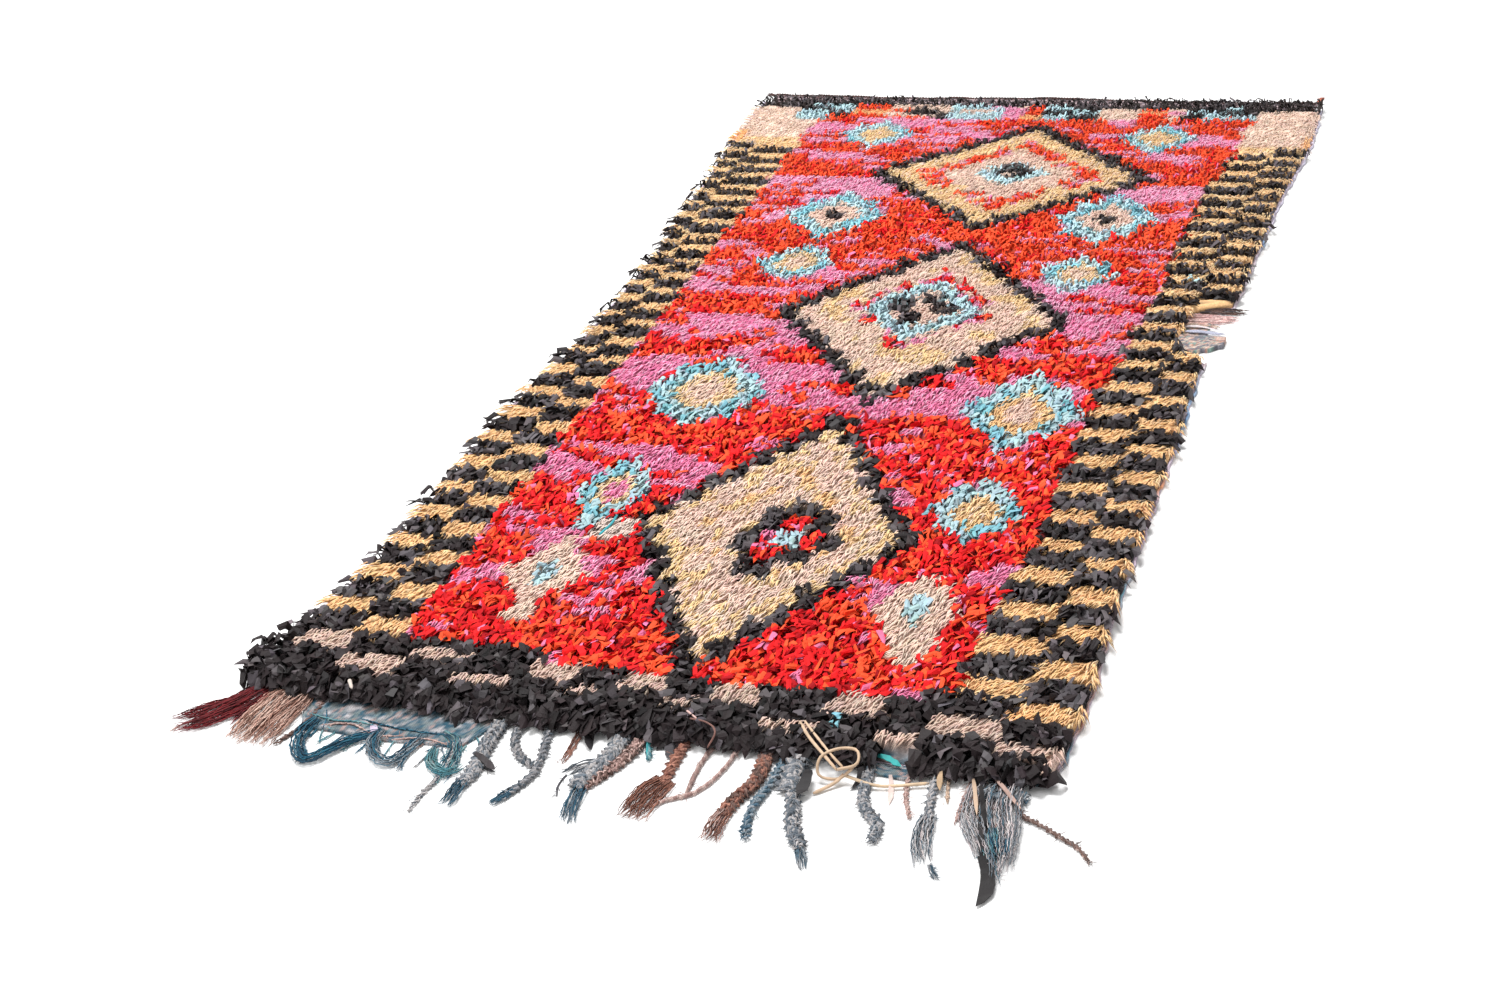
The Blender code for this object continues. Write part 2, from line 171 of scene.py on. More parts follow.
def dye(label, description, red, green, blue):
    """A colour property of a yarn or rag."""
    return bpy.props.FloatVectorProperty(
        name=label,
        description=description,
        default=paint(red, green, blue),
        subtype="COLOR",
        size=3,
        min=0.0,
        max=1.0,
    )


def length(label, description, size):
    """A size property in metres."""
    return bpy.props.FloatProperty(name=label, description=description, default=size, min=0.0, unit="LENGTH")


class RugSizes(bpy.types.PropertyGroup):
    """Sizes of the rug's pile, ground and ends."""

    pile: length("Pile", "Height of the pile over most of the rug", 0.0205)
    front_extra: length("Front pile", "How much taller the pile stands along the front end", 0.007)
    corner_extra: length("Corner pile", "How much taller the rags stand at the front left corner", 0.008)
    knot_pitch: length("Knot pitch", "Distance between knots along a row", 0.0120)
    ground: length("Ground weave", "Thickness of the woven ground", 0.0024)
    selvedge: length("Side cord", "Thickness of the cord along each long edge", 0.0042)
    yarn: length("Warp yarn", "Thickness of one yarn in the tassels", 0.0024)
    cord: length("End cord", "Thickness of the twisted cord along the back end", 0.0060)


class RugColours(bpy.types.PropertyGroup):
    """Colours of the rug's rags and yarns."""

    black: dye("Black", "Black rags of the borders and outlines", 32, 23, 25)
    grey: dye("Grey", "Washed-out black rags", 82, 76, 79)
    brown_black: dye("Brown black", "Black rags near the back end", 44, 36, 35)
    gold: dye("Gold", "Gold yarn of the border bands", 236, 190, 136)
    pale_gold: dye("Pale gold", "Gold yarn of the border bands near the back end", 236, 204, 158)
    straw: dye("Straw", "Light gold yarn inside the diamonds", 236, 202, 152)
    beige: dye("Beige", "Pinkish beige yarn", 232, 200, 184)
    cream: dye("Cream", "Cream yarn", 230, 204, 186)
    red: dye("Red", "Red rags of the field", 228, 32, 36)
    deep_red: dye("Deep red", "Dark red rags of the field", 176, 20, 28)
    orange: dye("Orange", "Orange rags of the field", 252, 88, 50)
    pink: dye("Pink", "Pink yarn of the field's front half", 227, 123, 164)
    mauve: dye("Mauve", "Pale pink yarn of the field's back half", 233, 171, 198)
    blue: dye("Blue", "Light blue rags of the stars", 170, 198, 204)
    teal: dye("Teal", "Stronger blue rags", 124, 180, 192)
    peach: dye("Peach", "Peach yarn in the back rows", 246, 190, 132)
    white: dye("White", "Bare pale yarn in worn places", 220, 200, 190)
    ground: dye("Ground weave", "Pale mauve wool of the ground weave", 206, 190, 204)


# How far the taller rags reach from the front end and from its left corner, and how much lower the pile lies
# towards the back end
TALL_ROWS = 0.17
TALL_CORNER = 0.22
BACK_WEAR = 0.003


# Shared sums


def smooth(share):
    """Eases a share from 0 to 1."""
    share = np.clip(share, 0.0, 1.0)
    return share * share * (3 - 2 * share)


def ramp(value, start, over):
    """Eases from 0 at start to 1 a distance over beyond it."""
    return smooth((value - start) / over)


def mix(a, b, share):
    """The value at a share of the way from a to b."""
    return a + (b - a) * share


def read_off(table, y):
    """The x of a column's border at y."""
    return np.interp(y, [row[0] for row in table], [row[1] for row in table])


def edge_at(y, column):
    """The ground outline's x at y, eased between the rows of EDGES."""
    y = np.clip(np.asarray(y, float), FRONT_Y, BACK_Y)
    ys = np.array([edge.y for edge in EDGES])
    xs = np.array([getattr(edge, column) for edge in EDGES])
    k = np.clip(np.searchsorted(ys, y) - 1, 0, len(ys) - 2)
    return mix(xs[k], xs[k + 1], smooth((y - ys[k]) / (ys[k + 1] - ys[k])))


def right_edge(y):
    """The right-hand outline with its worn notch."""
    below = smooth((y - NOTCH_FROM + NOTCH_FLARE) / NOTCH_FLARE)
    above = smooth((NOTCH_TO + NOTCH_TOP_FLARE - y) / NOTCH_TOP_FLARE)
    return mix(edge_at(y, "right"), NOTCH_X, below * above)


def inside(x, y):
    """How far inside the ground outline a place is, and the way out from it as x and y."""
    gaps = np.stack([x - edge_at(y, "left"), right_edge(y) - x, y - FRONT_Y, BACK_Y - y])
    nearest = np.argmin(gaps, axis=0)
    ways = np.array([(-1.0, 0.0), (1.0, 0.0), (0.0, -1.0), (0.0, 1.0)])
    return np.min(gaps, axis=0), ways[nearest]


def shares(rows, columns):
    """The share across and the share along of each point of a grid."""
    across = np.linspace(0, 1, columns)[None].repeat(rows, 0)
    along = np.linspace(0, 1, rows)[:, None].repeat(columns, 1)
    return across, along


def pile_height(x, y, sizes):
    """How high the pile stands here: taller over the rag rows at the front and at the front left corner."""
    front = 1 - ramp(y, FRONT_Y, TALL_ROWS)
    corner = 1 - smooth(np.hypot(x - EDGES[0].left, y - FRONT_Y) / TALL_CORNER)
    thin = ramp(y, 0.2, 0.8)
    swell = 0.0022 * np.sin(3.1 * x + 2.3 * y) * np.sin(-1.9 * x + 4.7 * y + 0.6)
    return sizes.pile + sizes.front_extra * front + sizes.corner_extra * corner + swell - BACK_WEAR * thin


def seen_from(x, y, height):
    """Where a tip at this height truly is, if the camera sees it over the chart's place x, y."""
    share = 1 - height / CAMERA_PLACE[2]
    return mix(CAMERA_PLACE[0], x, share), mix(CAMERA_PLACE[1], y, share)


def chart_place(x, y, height):
    """The chart's place of a tip that is truly at x, y."""
    share = 1 - height / CAMERA_PLACE[2]
    return CAMERA_PLACE[0] + (x - CAMERA_PLACE[0]) / share, CAMERA_PLACE[1] + (y - CAMERA_PLACE[1]) / share


def blotches(x, y, cell_x, cell_y, seed):
    """A soft random value from 0 to 1 for each place, from blotches about cell_x by cell_y in size."""
    table = np.random.default_rng(seed).random((256, 256))
    u = np.asarray(x) / cell_x + 100.37
    v = np.asarray(y) / cell_y + 100.71
    i = np.floor(u).astype(int)
    j = np.floor(v).astype(int)
    fu = smooth(u - i)
    fv = smooth(v - j)
    i0, i1 = i % 256, (i + 1) % 256
    j0, j1 = j % 256, (j + 1) % 256
    low = mix(table[i0, j0], table[i1, j0], fu)
    high = mix(table[i0, j1], table[i1, j1], fu)
    value = mix(low, high, fv)
    # The mix of four crowds round the middle, so it is spread out again
    return 1 / (1 + np.exp(-(value - 0.5) * 8.2))


# The chart

BAND_NUMBERS = np.arange(len(GOLD_BANDS))


def row_number(x, y):
    """The knot row at a chart place. Rows climb a little to the right."""
    bands = np.interp(y - ROW_SKEW * x, GOLD_BANDS, BAND_NUMBERS)
    return np.floor(bands * ROWS_PER_BAND).astype(int)


def row_middle(row):
    """The chart's y of a knot row on the middle line."""
    return np.interp((row + 0.5) / ROWS_PER_BAND, BAND_NUMBERS, GOLD_BANDS)


# How much of the field is pink, in stretches from its back end: from y, to y, and the share on its left,
# middle and right
PINK_SHARES = (
    (1.04, 0.99, 0.45, 0.15, 0.35),
    (0.99, 0.90, 0.60, 0.50, 0.55),
    (0.90, 0.80, 0.25, 0.10, 0.20),
    (0.80, 0.71, 0.12, 0.10, 0.20),
    (0.71, 0.62, 0.80, 0.70, 0.75),
    (0.62, 0.55, 0.55, 0.30, 0.30),
    (0.55, 0.41, 0.05, 0.10, 0.12),
    (0.41, 0.29, 0.20, 0.10, 0.10),
    (0.29, 0.20, 0.75, 0.50, 0.75),
    (0.20, 0.12, 0.10, 0.30, 0.70),
    (0.12, 0.02, 0.75, 0.50, 0.45),
    (0.02, -0.06, 0.62, 0.30, 0.20),
    (-0.06, -0.21, 0.74, 0.90, 0.60),
    (-0.21, -0.37, 0.10, 0.15, 0.10),
    (-0.37, -0.46, 0.75, 0.50, 0.20),
    (-0.46, -0.62, 0.12, 0.12, 0.10),
    (-0.62, -0.73, 0.45, 0.30, 0.60),
    (-0.73, -0.98, 0.11, 0.01, 0.05),
)

# Eight-pointed stars: middle, half width, half length, centre yarn, dot yarn and ring yarn
Star = namedtuple("Star", "x y half_x half_y centre dot ring")
STARS = (
    Star(-0.288, 0.933, 0.085, 0.070, STRAW, STRAW, BLUE),
    Star(0.312, 0.937, 0.085, 0.070, STRAW, STRAW, BLUE),
    Star(-0.249, 0.537, 0.108, 0.112, BEIGE, BLACK, BLUE),
    Star(0.294, 0.559, 0.108, 0.112, BEIGE, BLACK, BLUE),
    Star(-0.254, 0.326, 0.082, 0.078, STRAW, CREAM, BLUE),
    Star(0.296, 0.326, 0.082, 0.078, STRAW, CREAM, BLUE),
    Star(-0.245, -0.171, 0.118, 0.134, STRAW, BEIGE, BLUE),
    Star(0.322, -0.171, 0.106, 0.134, GOLD, BEIGE, BLUE),
    Star(-0.275, -0.505, 0.068, 0.105, STRAW, PINK, BLUE),
    Star(0.332, -0.479, 0.082, 0.094, GOLD, STRAW, BLUE),
    Star(-0.288, -0.750, 0.075, 0.100, CREAM, BLUE, BEIGE),
    Star(0.318, -0.750, 0.070, 0.110, CREAM, BLUE, BEIGE),
)

# Diamonds: middle, half width, half length to the front and to the back
Diamond = namedtuple("Diamond", "x y half_x front back")
BACK_DIAMOND = Diamond(0.052, 0.745, 0.302, 0.255, 0.255)
MIDDLE_DIAMOND = Diamond(0.053, 0.140, 0.280, 0.320, 0.310)
FRONT_DIAMOND = Diamond(0.030, -0.580, 0.240, 0.390, 0.365)

# The broken black ring with red and blue in the front diamond, as blocks in millimetres, and the four black
# lobes in the middle one
CROSS_BLOCKS = (
    (-2, 38, -582, -530, BLACK),
    (36, 88, -552, -500, BLACK),
    (82, 118, -585, -528, BLACK),
    (114, 146, -626, -572, BLACK),
    (-24, 18, -654, -584, BLACK),
    (4, 66, -710, -660, BLACK),
    (60, 114, -664, -617, BLACK),
    (14, 68, -668, -606, RED),
    (38, 80, -596, -540, RED),
    (78, 116, -624, -578, RED),
    (16, 40, -608, -582, PINK),
    (36, 84, -620, -576, BLUE),
)
CENTRE_LOBES = ((0.003, 0.174), (0.058, 0.201), (0.036, 0.130), (0.086, 0.165))

# What the stars of the two front rows have beyond their rings, in millimetres: worn and stray blocks and tails
STAR_BLOCKS = (
    (-266, -198, -652, -576, WHITE),
    (-302, -264, -636, -588, BLUE),
    (-256, -198, -690, -654, RED),
    (-306, -262, -884, -820, CREAM),
    (302, 374, -864, -817, CREAM),
    (326, 360, -896, -860, CREAM),
)

# Blocks of the rows at the back end: from x, to x, from y, to y, in millimetres, and yarn
BACK_BLOCKS = (
    (-480, 485, 1002, 1032, ORANGE),
    (-360, -90, 1002, 1022, PINK),
    (190, 248, 1002, 1022, PINK),
    (-460, 475, 1030, 1110, CREAM),
    (-500, -430, 1006, 1092, BLUE),
    (-500, -430, 1044, 1067, BLACK),
    (-430, -360, 1076, 1110, BLACK),
    (-430, -372, 1050, 1078, BLUE),
    (-430, -360, 1022, 1050, BLACK),
    (-380, -303, 1016, 1110, ORANGE),
    (-380, -303, 1043, 1062, PEACH),
    (-303, -256, 1052, 1066, ORANGE),
    (-256, -195, 1045, 1070, BLACK),
    (-195, -154, 1015, 1050, BLACK),
    (-160, -43, 1018, 1100, BLUE),
    (-140, -70, 1054, 1067, BEIGE),
    (-80, -25, 1080, 1106, PINK),
    (-43, 0, 1020, 1080, PINK),
    (0, 48, 1045, 1087, ORANGE),
    (0, 48, 1022, 1045, PEACH),
    (40, 100, 1028, 1095, BLUE),
    (40, 100, 1046, 1070, BLACK),
    (100, 165, 1070, 1110, BLACK),
    (100, 165, 1046, 1070, BLUE),
    (100, 165, 1020, 1046, BLACK),
    (248, 304, 985, 1104, ORANGE),
    (248, 304, 1060, 1076, PEACH),
    (304, 348, 1054, 1078, PINK),
    (345, 490, 1028, 1110, BLUE),
    (345, 410, 1078, 1110, BLACK),
    (339, 385, 1028, 1060, BLACK),
    (410, 490, 1058, 1082, BLACK),
)

# Where the black front end begins and where the last black rows begin: x and the y there
FRONT_LINE = (
    (-0.60, -0.949), (-0.44, -0.944), (-0.20, -0.958), (0.02, -0.972), (0.25, -0.955), (0.42, -0.946),
)
BACK_LINE = ((-0.60, 1.068), (-0.50, 1.068), (-0.45, 1.088), (0.34, 1.088), (0.50, 1.082))

# Pinkish beige patches in the black front end: from x, to x, from y, to y, in millimetres
FRONT_PATCHES = (
    (-600, -512, -1000, -955),
    (-503, -400, -1050, -1003),
    (-396, -300, -999, -974),
    (-306, -222, -1046, -1022),
    (-203, -120, -1020, -972),
    (-115, -74, -1044, -1020),
    (-50, 16, -1016, -968),
    (25, 72, -1042, -1018),
    (88, 165, -1014, -966),
    (185, 273, -1062, -1038),
    (265, 351, -1010, -972),
    (418, 525, -1033, -985),
    (358, 414, -1060, -1035),
    (524, 617, -1056, -1033),
    (586, 617, -1080, -1056),
)


def diamond_metric(diamond, x, y):
    """0 at a diamond's middle and 1 on its outline."""
    dy = y - diamond.y
    return np.abs(x - diamond.x) / diamond.half_x + np.abs(dy) / np.where(dy > 0, diamond.back, diamond.front)


def lozenge(x, y, mid_x, mid_y, half_x, half_y):
    """0 at a lozenge's middle and 1 on its outline."""
    return np.abs(x - mid_x) / half_x + np.abs(y - mid_y) / half_y


def in_box(x, y, mid_x, mid_y, half_x, half_y):
    """Whether a place is in a box round a middle."""
    return (np.abs(x - mid_x) < half_x) & (np.abs(y - mid_y) < half_y)


def outlined(metric, rim, inner, found):
    """Lays a diamond over what was found: its inner yarns and a black outline from rim outwards."""
    return np.where(metric < 1, np.where(metric > rim, BLACK, inner), found)


def chart_field(x, y, row):
    """Red and orange rags with streaks of pink along the rows."""
    share = np.zeros(len(x))
    for start, end, left, middle, right in PINK_SHARES:
        here = (y <= start) & (y > end)
        across = np.interp(x, (-0.30, -0.10, 0.15, 0.32), (left, middle, middle, right))
        share = np.where(here, across, share)
    streak = blotches(x + row * 0.37, row, 0.050, 1.0, SEED + 1)
    broad = blotches(x, row, 0.090, 2.6, SEED + 2)
    found = np.where(0.55 * streak + 0.45 * broad < 0.18 + 0.66 * share, PINK, RED)
    found = np.where(share < 0.02, RED, found)
    glow = blotches(x + row * 0.53, row, 0.042, 1.7, SEED + 3)
    orange_share = mix(0.26, 0.92, ramp(y, -0.45, 0.95))
    return np.where((found == RED) & (glow < orange_share), ORANGE, found)


def in_blocks(blocks, x, y, found):
    """Lays blocks over what was found: from x, to x, from y and to y in millimetres, and the yarn."""
    for x0, x1, y0, y1, yarn in blocks:
        here = (x > x0 / 1000) & (x < x1 / 1000) & (y > y0 / 1000) & (y < y1 / 1000)
        found = np.where(here, yarn, found)
    return found


def chart_diamonds(x, y, row, found):
    """The three large diamonds on the middle line, with what is inside them. Outlines step by two rows."""
    pair = np.floor(row / 2) * 2
    sway = (blotches(x * 0, row, 1.0, 1.0, SEED + 15) - 0.5) * ROW_SWAY
    stepped = row_middle(pair + 0.5) + ROW_SKEW * x + sway
    dots = blotches(x + row * 0.21, row, 0.024, 1.0, SEED + 4)
    patch = blotches(x, y, 0.030, 0.034, SEED + 5)

    m = diamond_metric(BACK_DIAMOND, x, stepped)
    inner = np.where(m < 0.50, BEIGE, STRAW)
    inner = np.where((m < 0.50) & (patch < 0.3), CREAM, inner)
    ring = (m > 0.49) & (m < 0.66) & (dots < 0.86)
    inner = np.where(ring, np.where(dots < 0.74, ORANGE, PINK), inner)
    star = lozenge(x, y, 0.052, 0.757, 0.078, 0.056)
    inner = np.where(star < 1, BLUE, inner)
    inner = np.where(lozenge(x, y, 0.052, 0.762, 0.048, 0.036) < 1, BLACK, inner)
    inner = np.where(in_box(x, y, 0.050, 0.752, 0.013, 0.010), CREAM, inner)
    found = outlined(m, 0.865, inner, found)

    m = diamond_metric(MIDDLE_DIAMOND, x, stepped)
    inner = np.where(patch < 0.30, BEIGE, np.where(patch > 0.78, STRAW, CREAM))
    star = lozenge(x, y, 0.048, 0.163, 0.152, 0.155)
    inner = np.where((star < 1) & (dots < 0.72), np.where(dots < 0.42, RED, PINK), inner)
    star = lozenge(x, y, 0.048, 0.163, 0.116, 0.122)
    inner = np.where(star < 1, BLUE, inner)
    inner = np.where(star < 0.62, BEIGE, inner)
    for lobe_x, lobe_y in CENTRE_LOBES:
        inner = np.where(in_box(x, y, lobe_x, lobe_y, 0.021, 0.019), BLACK, inner)
    found = outlined(m, 0.875, inner, found)

    m = diamond_metric(FRONT_DIAMOND, x, stepped)
    inner = np.where(patch < 0.50, BEIGE, np.where(patch > 0.76, CREAM, STRAW))
    inner = np.where((m > 0.44) & (m < 0.54) & (dots < 0.4), GOLD, inner)
    inner = np.where((m > 0.74) & (dots < 0.6), STRAW, inner)
    inner = in_blocks(CROSS_BLOCKS, x, y, inner)
    return outlined(m, 0.87, inner, found)


def chart_stars(x, y, found):
    """The small eight-pointed stars down both sides of the field."""
    patch = blotches(x, y, 0.022, 0.022, SEED + 6)
    for star in STARS:
        across = np.abs(x - star.x) / star.half_x
        along = np.abs(y - star.y) / star.half_y
        reach = np.minimum(across + along, np.maximum(across, along) / 0.62)
        ring = np.where((star.ring == BLUE) & (patch > 0.66), TEAL, star.ring)
        here = np.where(reach > 0.58, ring, star.centre)
        here = np.where(reach < (0.24 if star.dot == BLACK else 0.34), star.dot, here)
        found = np.where(reach < 1, here, found)
    return in_blocks(STAR_BLOCKS, x, y, found)


def chart_borders(x, y, row, found):
    """The checked columns down both sides, two knot rows to a check, and the cream blocks at the back."""
    sway = (blotches(x * 0, row, 1.0, 1.0, SEED + 7) - 0.5) * ROW_SWAY
    band = (row + 0.5) / ROWS_PER_BAND
    gold_inside = np.abs(band - np.round(band)) < 0.25
    x = x + sway
    left_outer = x < read_off(LEFT_COLUMNS, y)
    right_outer = x > read_off(RIGHT_COLUMNS, y)
    border = (x < read_off(LEFT_FIELD, y)) | (x > read_off(RIGHT_FIELD, y))
    gold = np.where(left_outer | right_outer, ~gold_inside, gold_inside)
    here = np.where(gold, GOLD, BLACK)
    block_from = np.where(x < 0, LEFT_BLOCK_FROM, np.where(right_outer, EDGE_BLOCK_FROM, RIGHT_BLOCK_FROM))
    here = np.where(y > block_from, np.where(y < STRAW_TO, STRAW, CREAM), here)
    return np.where(border, here, found)


def chart_ends(x, y, found):
    """The black front end with its beige patches, and the rows of small blocks at the back end."""
    front_line = np.interp(x, *zip(*FRONT_LINE))
    found = np.where(y < front_line, BLACK, found)
    found = in_blocks([(*patch, BEIGE) for patch in FRONT_PATCHES], x, y, found)
    found = np.where((x > 0.542) & (y < -0.958) & (y > -0.982), GOLD, found)
    found = np.where(in_box(x, y, 0.530, -0.967, 0.016, 0.018), PEACH, found)
    # One blue rag, and the gap in the front row where the weave lies bare
    found = np.where(in_box(x, y, 0.285, -1.035, 0.006, 0.014), TEAL, found)
    found = np.where((x > 0.366) & (x < 0.422) & (y < -1.066), NONE, found)
    found = in_blocks(BACK_BLOCKS, x, y, found)
    found = np.where(y > np.interp(x, *zip(*BACK_LINE)), BLACK, found)
    found = np.where((x < -0.584) & (np.abs(y - 0.91) < 0.03), PEACH, found)
    return np.where((x > 0.600) & (np.abs(y - 0.935) < 0.03), PEACH, found)


def chart(x, y):
    """The yarn number at each chart place."""
    row = row_number(x, y)
    middle = row_middle(row) + ROW_SKEW * x
    found = chart_field(x, middle, row)
    found = chart_diamonds(x, middle, row, found)
    found = chart_stars(x, middle, found)
    found = chart_borders(x, middle, row, found)
    found = chart_ends(x, middle, found)
    # One stray blue rag in the right border
    return np.where(in_box(x, middle, 0.507, 0.329, 0.010, 0.008), BLUE, found)


# Mesh making

Shape = namedtuple("Shape", "points faces uvs tints depths")


def unit(vectors):
    """Vectors of the same headings and of length 1."""
    return vectors / np.maximum(np.linalg.norm(vectors, axis=-1, keepdims=True), 1e-9)


def tubes(spine, side, wide, thick, tints, sides=3, pointed=True):
    """Closed tubes along many spines at once. spine and tints are (count, stations, 3), side points along each
    section's width, and wide and thick are the half sizes there. A pointed tube ends in one point."""
    count, stations, _ = spine.shape
    way = unit(np.gradient(spine, axis=1))
    side = unit(side - np.sum(side * way, axis=-1, keepdims=True) * way)
    rise = np.cross(way, side)
    rings = stations - 1 if pointed else stations
    turn = np.arange(sides) * (2 * math.pi / sides) - math.pi / 2 - math.pi / sides
    across = np.cos(turn)[None, None, :, None]
    up = np.sin(turn)[None, None, :, None]
    ring = (
        spine[:, :rings, None]
        + side[:, :rings, None] * wide[:, :rings, None, None] * across
        + rise[:, :rings, None] * thick[:, :rings, None, None] * up
    )
    points = ring.reshape(count, rings * sides, 3)
    along = np.repeat(np.linspace(0, 1, stations)[:rings], sides)
    tint = np.repeat(tints[:, :rings], sides, axis=1)
    if pointed:
        points = np.concatenate([points, spine[:, -1:]], axis=1)
        along = np.append(along, 1.0)
        tint = np.concatenate([tint, tints[:, -1:]], axis=1)

    quads = []
    quad_uv = []
    for i in range(rings - 1):
        for j in range(sides):
            a = i * sides + j
            b = i * sides + (j + 1) % sides
            quads.append((a, b, b + sides, a + sides))
            u0, u1 = j / sides, (j + 1) / sides
            v0, v1 = i / (stations - 1), (i + 1) / (stations - 1)
            quad_uv.append(((u0, v0), (u1, v0), (u1, v1), (u0, v1)))
    cap = tuple(reversed(range(sides)))
    ends = [cap]
    end_uv = [tuple((j / sides, -0.05 * (k % 2)) for k, j in enumerate(cap))]
    last = (rings - 1) * sides
    if pointed:
        tips = [(last + j, last + (j + 1) % sides, rings * sides) for j in range(sides)]
        v0 = (stations - 2) / (stations - 1)
        tip_uv = [((j / sides, v0), ((j + 1) / sides, v0), ((j + 0.5) / sides, 1.0)) for j in range(sides)]
    else:
        tips = [tuple(last + j for j in range(sides))]
        tip_uv = [tuple((j / sides, 1.0 + 0.05 * (j % 2)) for j in range(sides))]

    per = points.shape[1]
    offset = (np.arange(count) * per)[:, None, None]
    grid = math.ceil(math.sqrt(count))
    cell = np.stack([np.arange(count) % grid, np.arange(count) // grid], axis=-1)[:, None, None]
    faces = []
    uvs = []
    for rows, row_uvs in ((quads, quad_uv), (ends, end_uv), (tips, tip_uv)):
        rows = np.array(rows)
        spot = np.array(row_uvs)[None]
        faces.append((rows[None] + offset).reshape(-1, rows.shape[1]))
        uvs.append(((cell + 0.08 + 0.84 * spot) / grid).reshape(-1, rows.shape[1], 2))
    return Shape(points.reshape(-1, 3), faces, uvs, tint.reshape(-1, 3), np.tile(along, count))


def one_cord(spine, side, wide, thick, tints, sides):
    """One closed tube with flat ends."""
    return tubes(spine[None], side[None], wide[None], thick[None], tints[None], sides=sides, pointed=False)


def joined(shapes):
    """Several shapes as one. Each keeps its own share of the UV square."""
    points, faces, uvs, tints, depths = [], [], [], [], []
    start = 0
    grid = math.ceil(math.sqrt(len(shapes)))
    for number, shape in enumerate(shapes):
        points.append(shape.points)
        tints.append(shape.tints)
        depths.append(shape.depths)
        corner = np.array([number % grid, number // grid])
        for rows, spots in zip(shape.faces, shape.uvs):
            faces.append(rows + start)
            uvs.append((spots + corner) / grid)
        start += len(shape.points)
    return Shape(np.concatenate(points), faces, uvs, np.concatenate(tints), np.concatenate(depths))


def grid_sheet(top, low, tints):
    """A closed sheet from a grid of top points (rows, columns, 3), with a flat underside at low."""
    rows, columns, _ = top.shape
    count = rows * columns
    under = top.copy()
    under[..., 2] = low
    points = np.concatenate([top.reshape(-1, 3), under.reshape(-1, 3)])
    number = np.arange(count).reshape(rows, columns)
    a, b = number[:-1, :-1], number[:-1, 1:]
    c, d = number[1:, 1:], number[1:, :-1]
    upper = np.stack([a, b, c, d], axis=-1).reshape(-1, 4)
    lower = upper[:, ::-1] + count
    rim = np.concatenate([number[0, :], number[1:, -1], number[-1, -2::-1], number[-2:0:-1, 0]])
    after = np.roll(rim, -1)
    wall = np.stack([rim, rim + count, after + count, after], axis=-1)
    faces = np.concatenate([upper, lower, wall])
    spots = np.stack(shares(rows, columns), axis=-1).reshape(-1, 2)
    uv_top = spots[upper] * (0.98, 0.49) + (0.01, 0.005)
    uv_low = spots[lower - count] * (0.98, 0.46) + (0.01, 0.505)
    share = np.arange(len(rim)) / len(rim)
    step = 1 / len(rim)
    uv_wall = np.stack([share, share, share + step, share + step], axis=-1) * 0.98 + 0.01
    uv_wall = np.stack([uv_wall, np.tile((0.985, 0.97, 0.97, 0.985), (len(rim), 1))], axis=-1)
    tint = np.concatenate([tints.reshape(-1, 3)] * 2)
    depth = np.ones(len(points))
    return Shape(points, [faces], [np.concatenate([uv_top, uv_low, uv_wall])], tint, depth)


def make_piece(name, shape, material, nodes, flat=False):
    """Makes a mesh object of the shape, puts it on its body and hides the CAD nodes that it stands for."""
    old = bpy.data.objects.get(name)
    if old is not None:
        bpy.data.objects.remove(old)
    mesh = bpy.data.meshes.new(name)
    loops = np.concatenate([rows.ravel() for rows in shape.faces]).astype(np.int32)
    totals = np.concatenate([np.full(len(rows), rows.shape[1]) for rows in shape.faces])
    starts = (np.cumsum(totals) - totals).astype(np.int32)
    mesh.vertices.add(len(shape.points))
    mesh.vertices.foreach_set("co", shape.points.astype(np.float32).ravel())
    mesh.loops.add(len(loops))
    mesh.loops.foreach_set("vertex_index", loops)
    mesh.polygons.add(len(starts))
    mesh.polygons.foreach_set("loop_start", starts)
    mesh.polygons.foreach_set("use_smooth", np.full(len(starts), not flat))
    mesh.update(calc_edges=True)
    layer = mesh.uv_layers.new(name="OFBake")
    spots = np.concatenate([uv.reshape(-1, 2) for uv in shape.uvs]).astype(np.float32)
    layer.data.foreach_set("uv", spots.ravel())
    tint = mesh.attributes.new("tint", "FLOAT_COLOR", "POINT")
    rgba = np.concatenate([np.clip(shape.tints, 0, 1), np.ones((len(shape.tints), 1))], axis=1)
    tint.data.foreach_set("color", rgba.astype(np.float32).ravel())
    depth = mesh.attributes.new("depth", "FLOAT", "POINT")
    depth.data.foreach_set("value", shape.depths.astype(np.float32))
    if mesh.validate():
        raise RuntimeError(f"{name}: the mesh held faces that had to be removed")
    mesh.materials.append(material)
    piece = bpy.data.objects.new(name, mesh)
    bpy.context.scene.collection.objects.link(piece)
    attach(piece, BODY)
    if nodes:
        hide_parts(*nodes)
    return piece


def dyed(colour, count, draw, value=0.12, hue=0.04):
    """count tints near a colour, each a little lighter or darker and a little off its hue."""
    tint = np.array(colour)[None] * (1 + value * draw.standard_normal((count, 1)))
    return np.clip(tint * (1 + hue * draw.standard_normal((count, 3))), 0.002, 1)


# Materials

# How deep the materials' relief is, and how widely their sheen spreads
RELIEF = 0.0012
SHEEN_SPREAD = 0.5


def new_group(name, inputs, outputs):
    """A shader node group with its sockets. Inputs come with default values, and outputs with their kinds."""
    group = bpy.data.node_groups.new(name, "ShaderNodeTree")
    for label, default in inputs.items():
        socket = group.interface.new_socket(name=label, in_out="INPUT", socket_type="NodeSocketFloat")
        socket.default_value = default
    for label, kind in outputs.items():
        group.interface.new_socket(name=label, in_out="OUTPUT", socket_type=f"NodeSocket{kind}")
    return group, group.nodes.new("NodeGroupInput").outputs, group.nodes.new("NodeGroupOutput").inputs


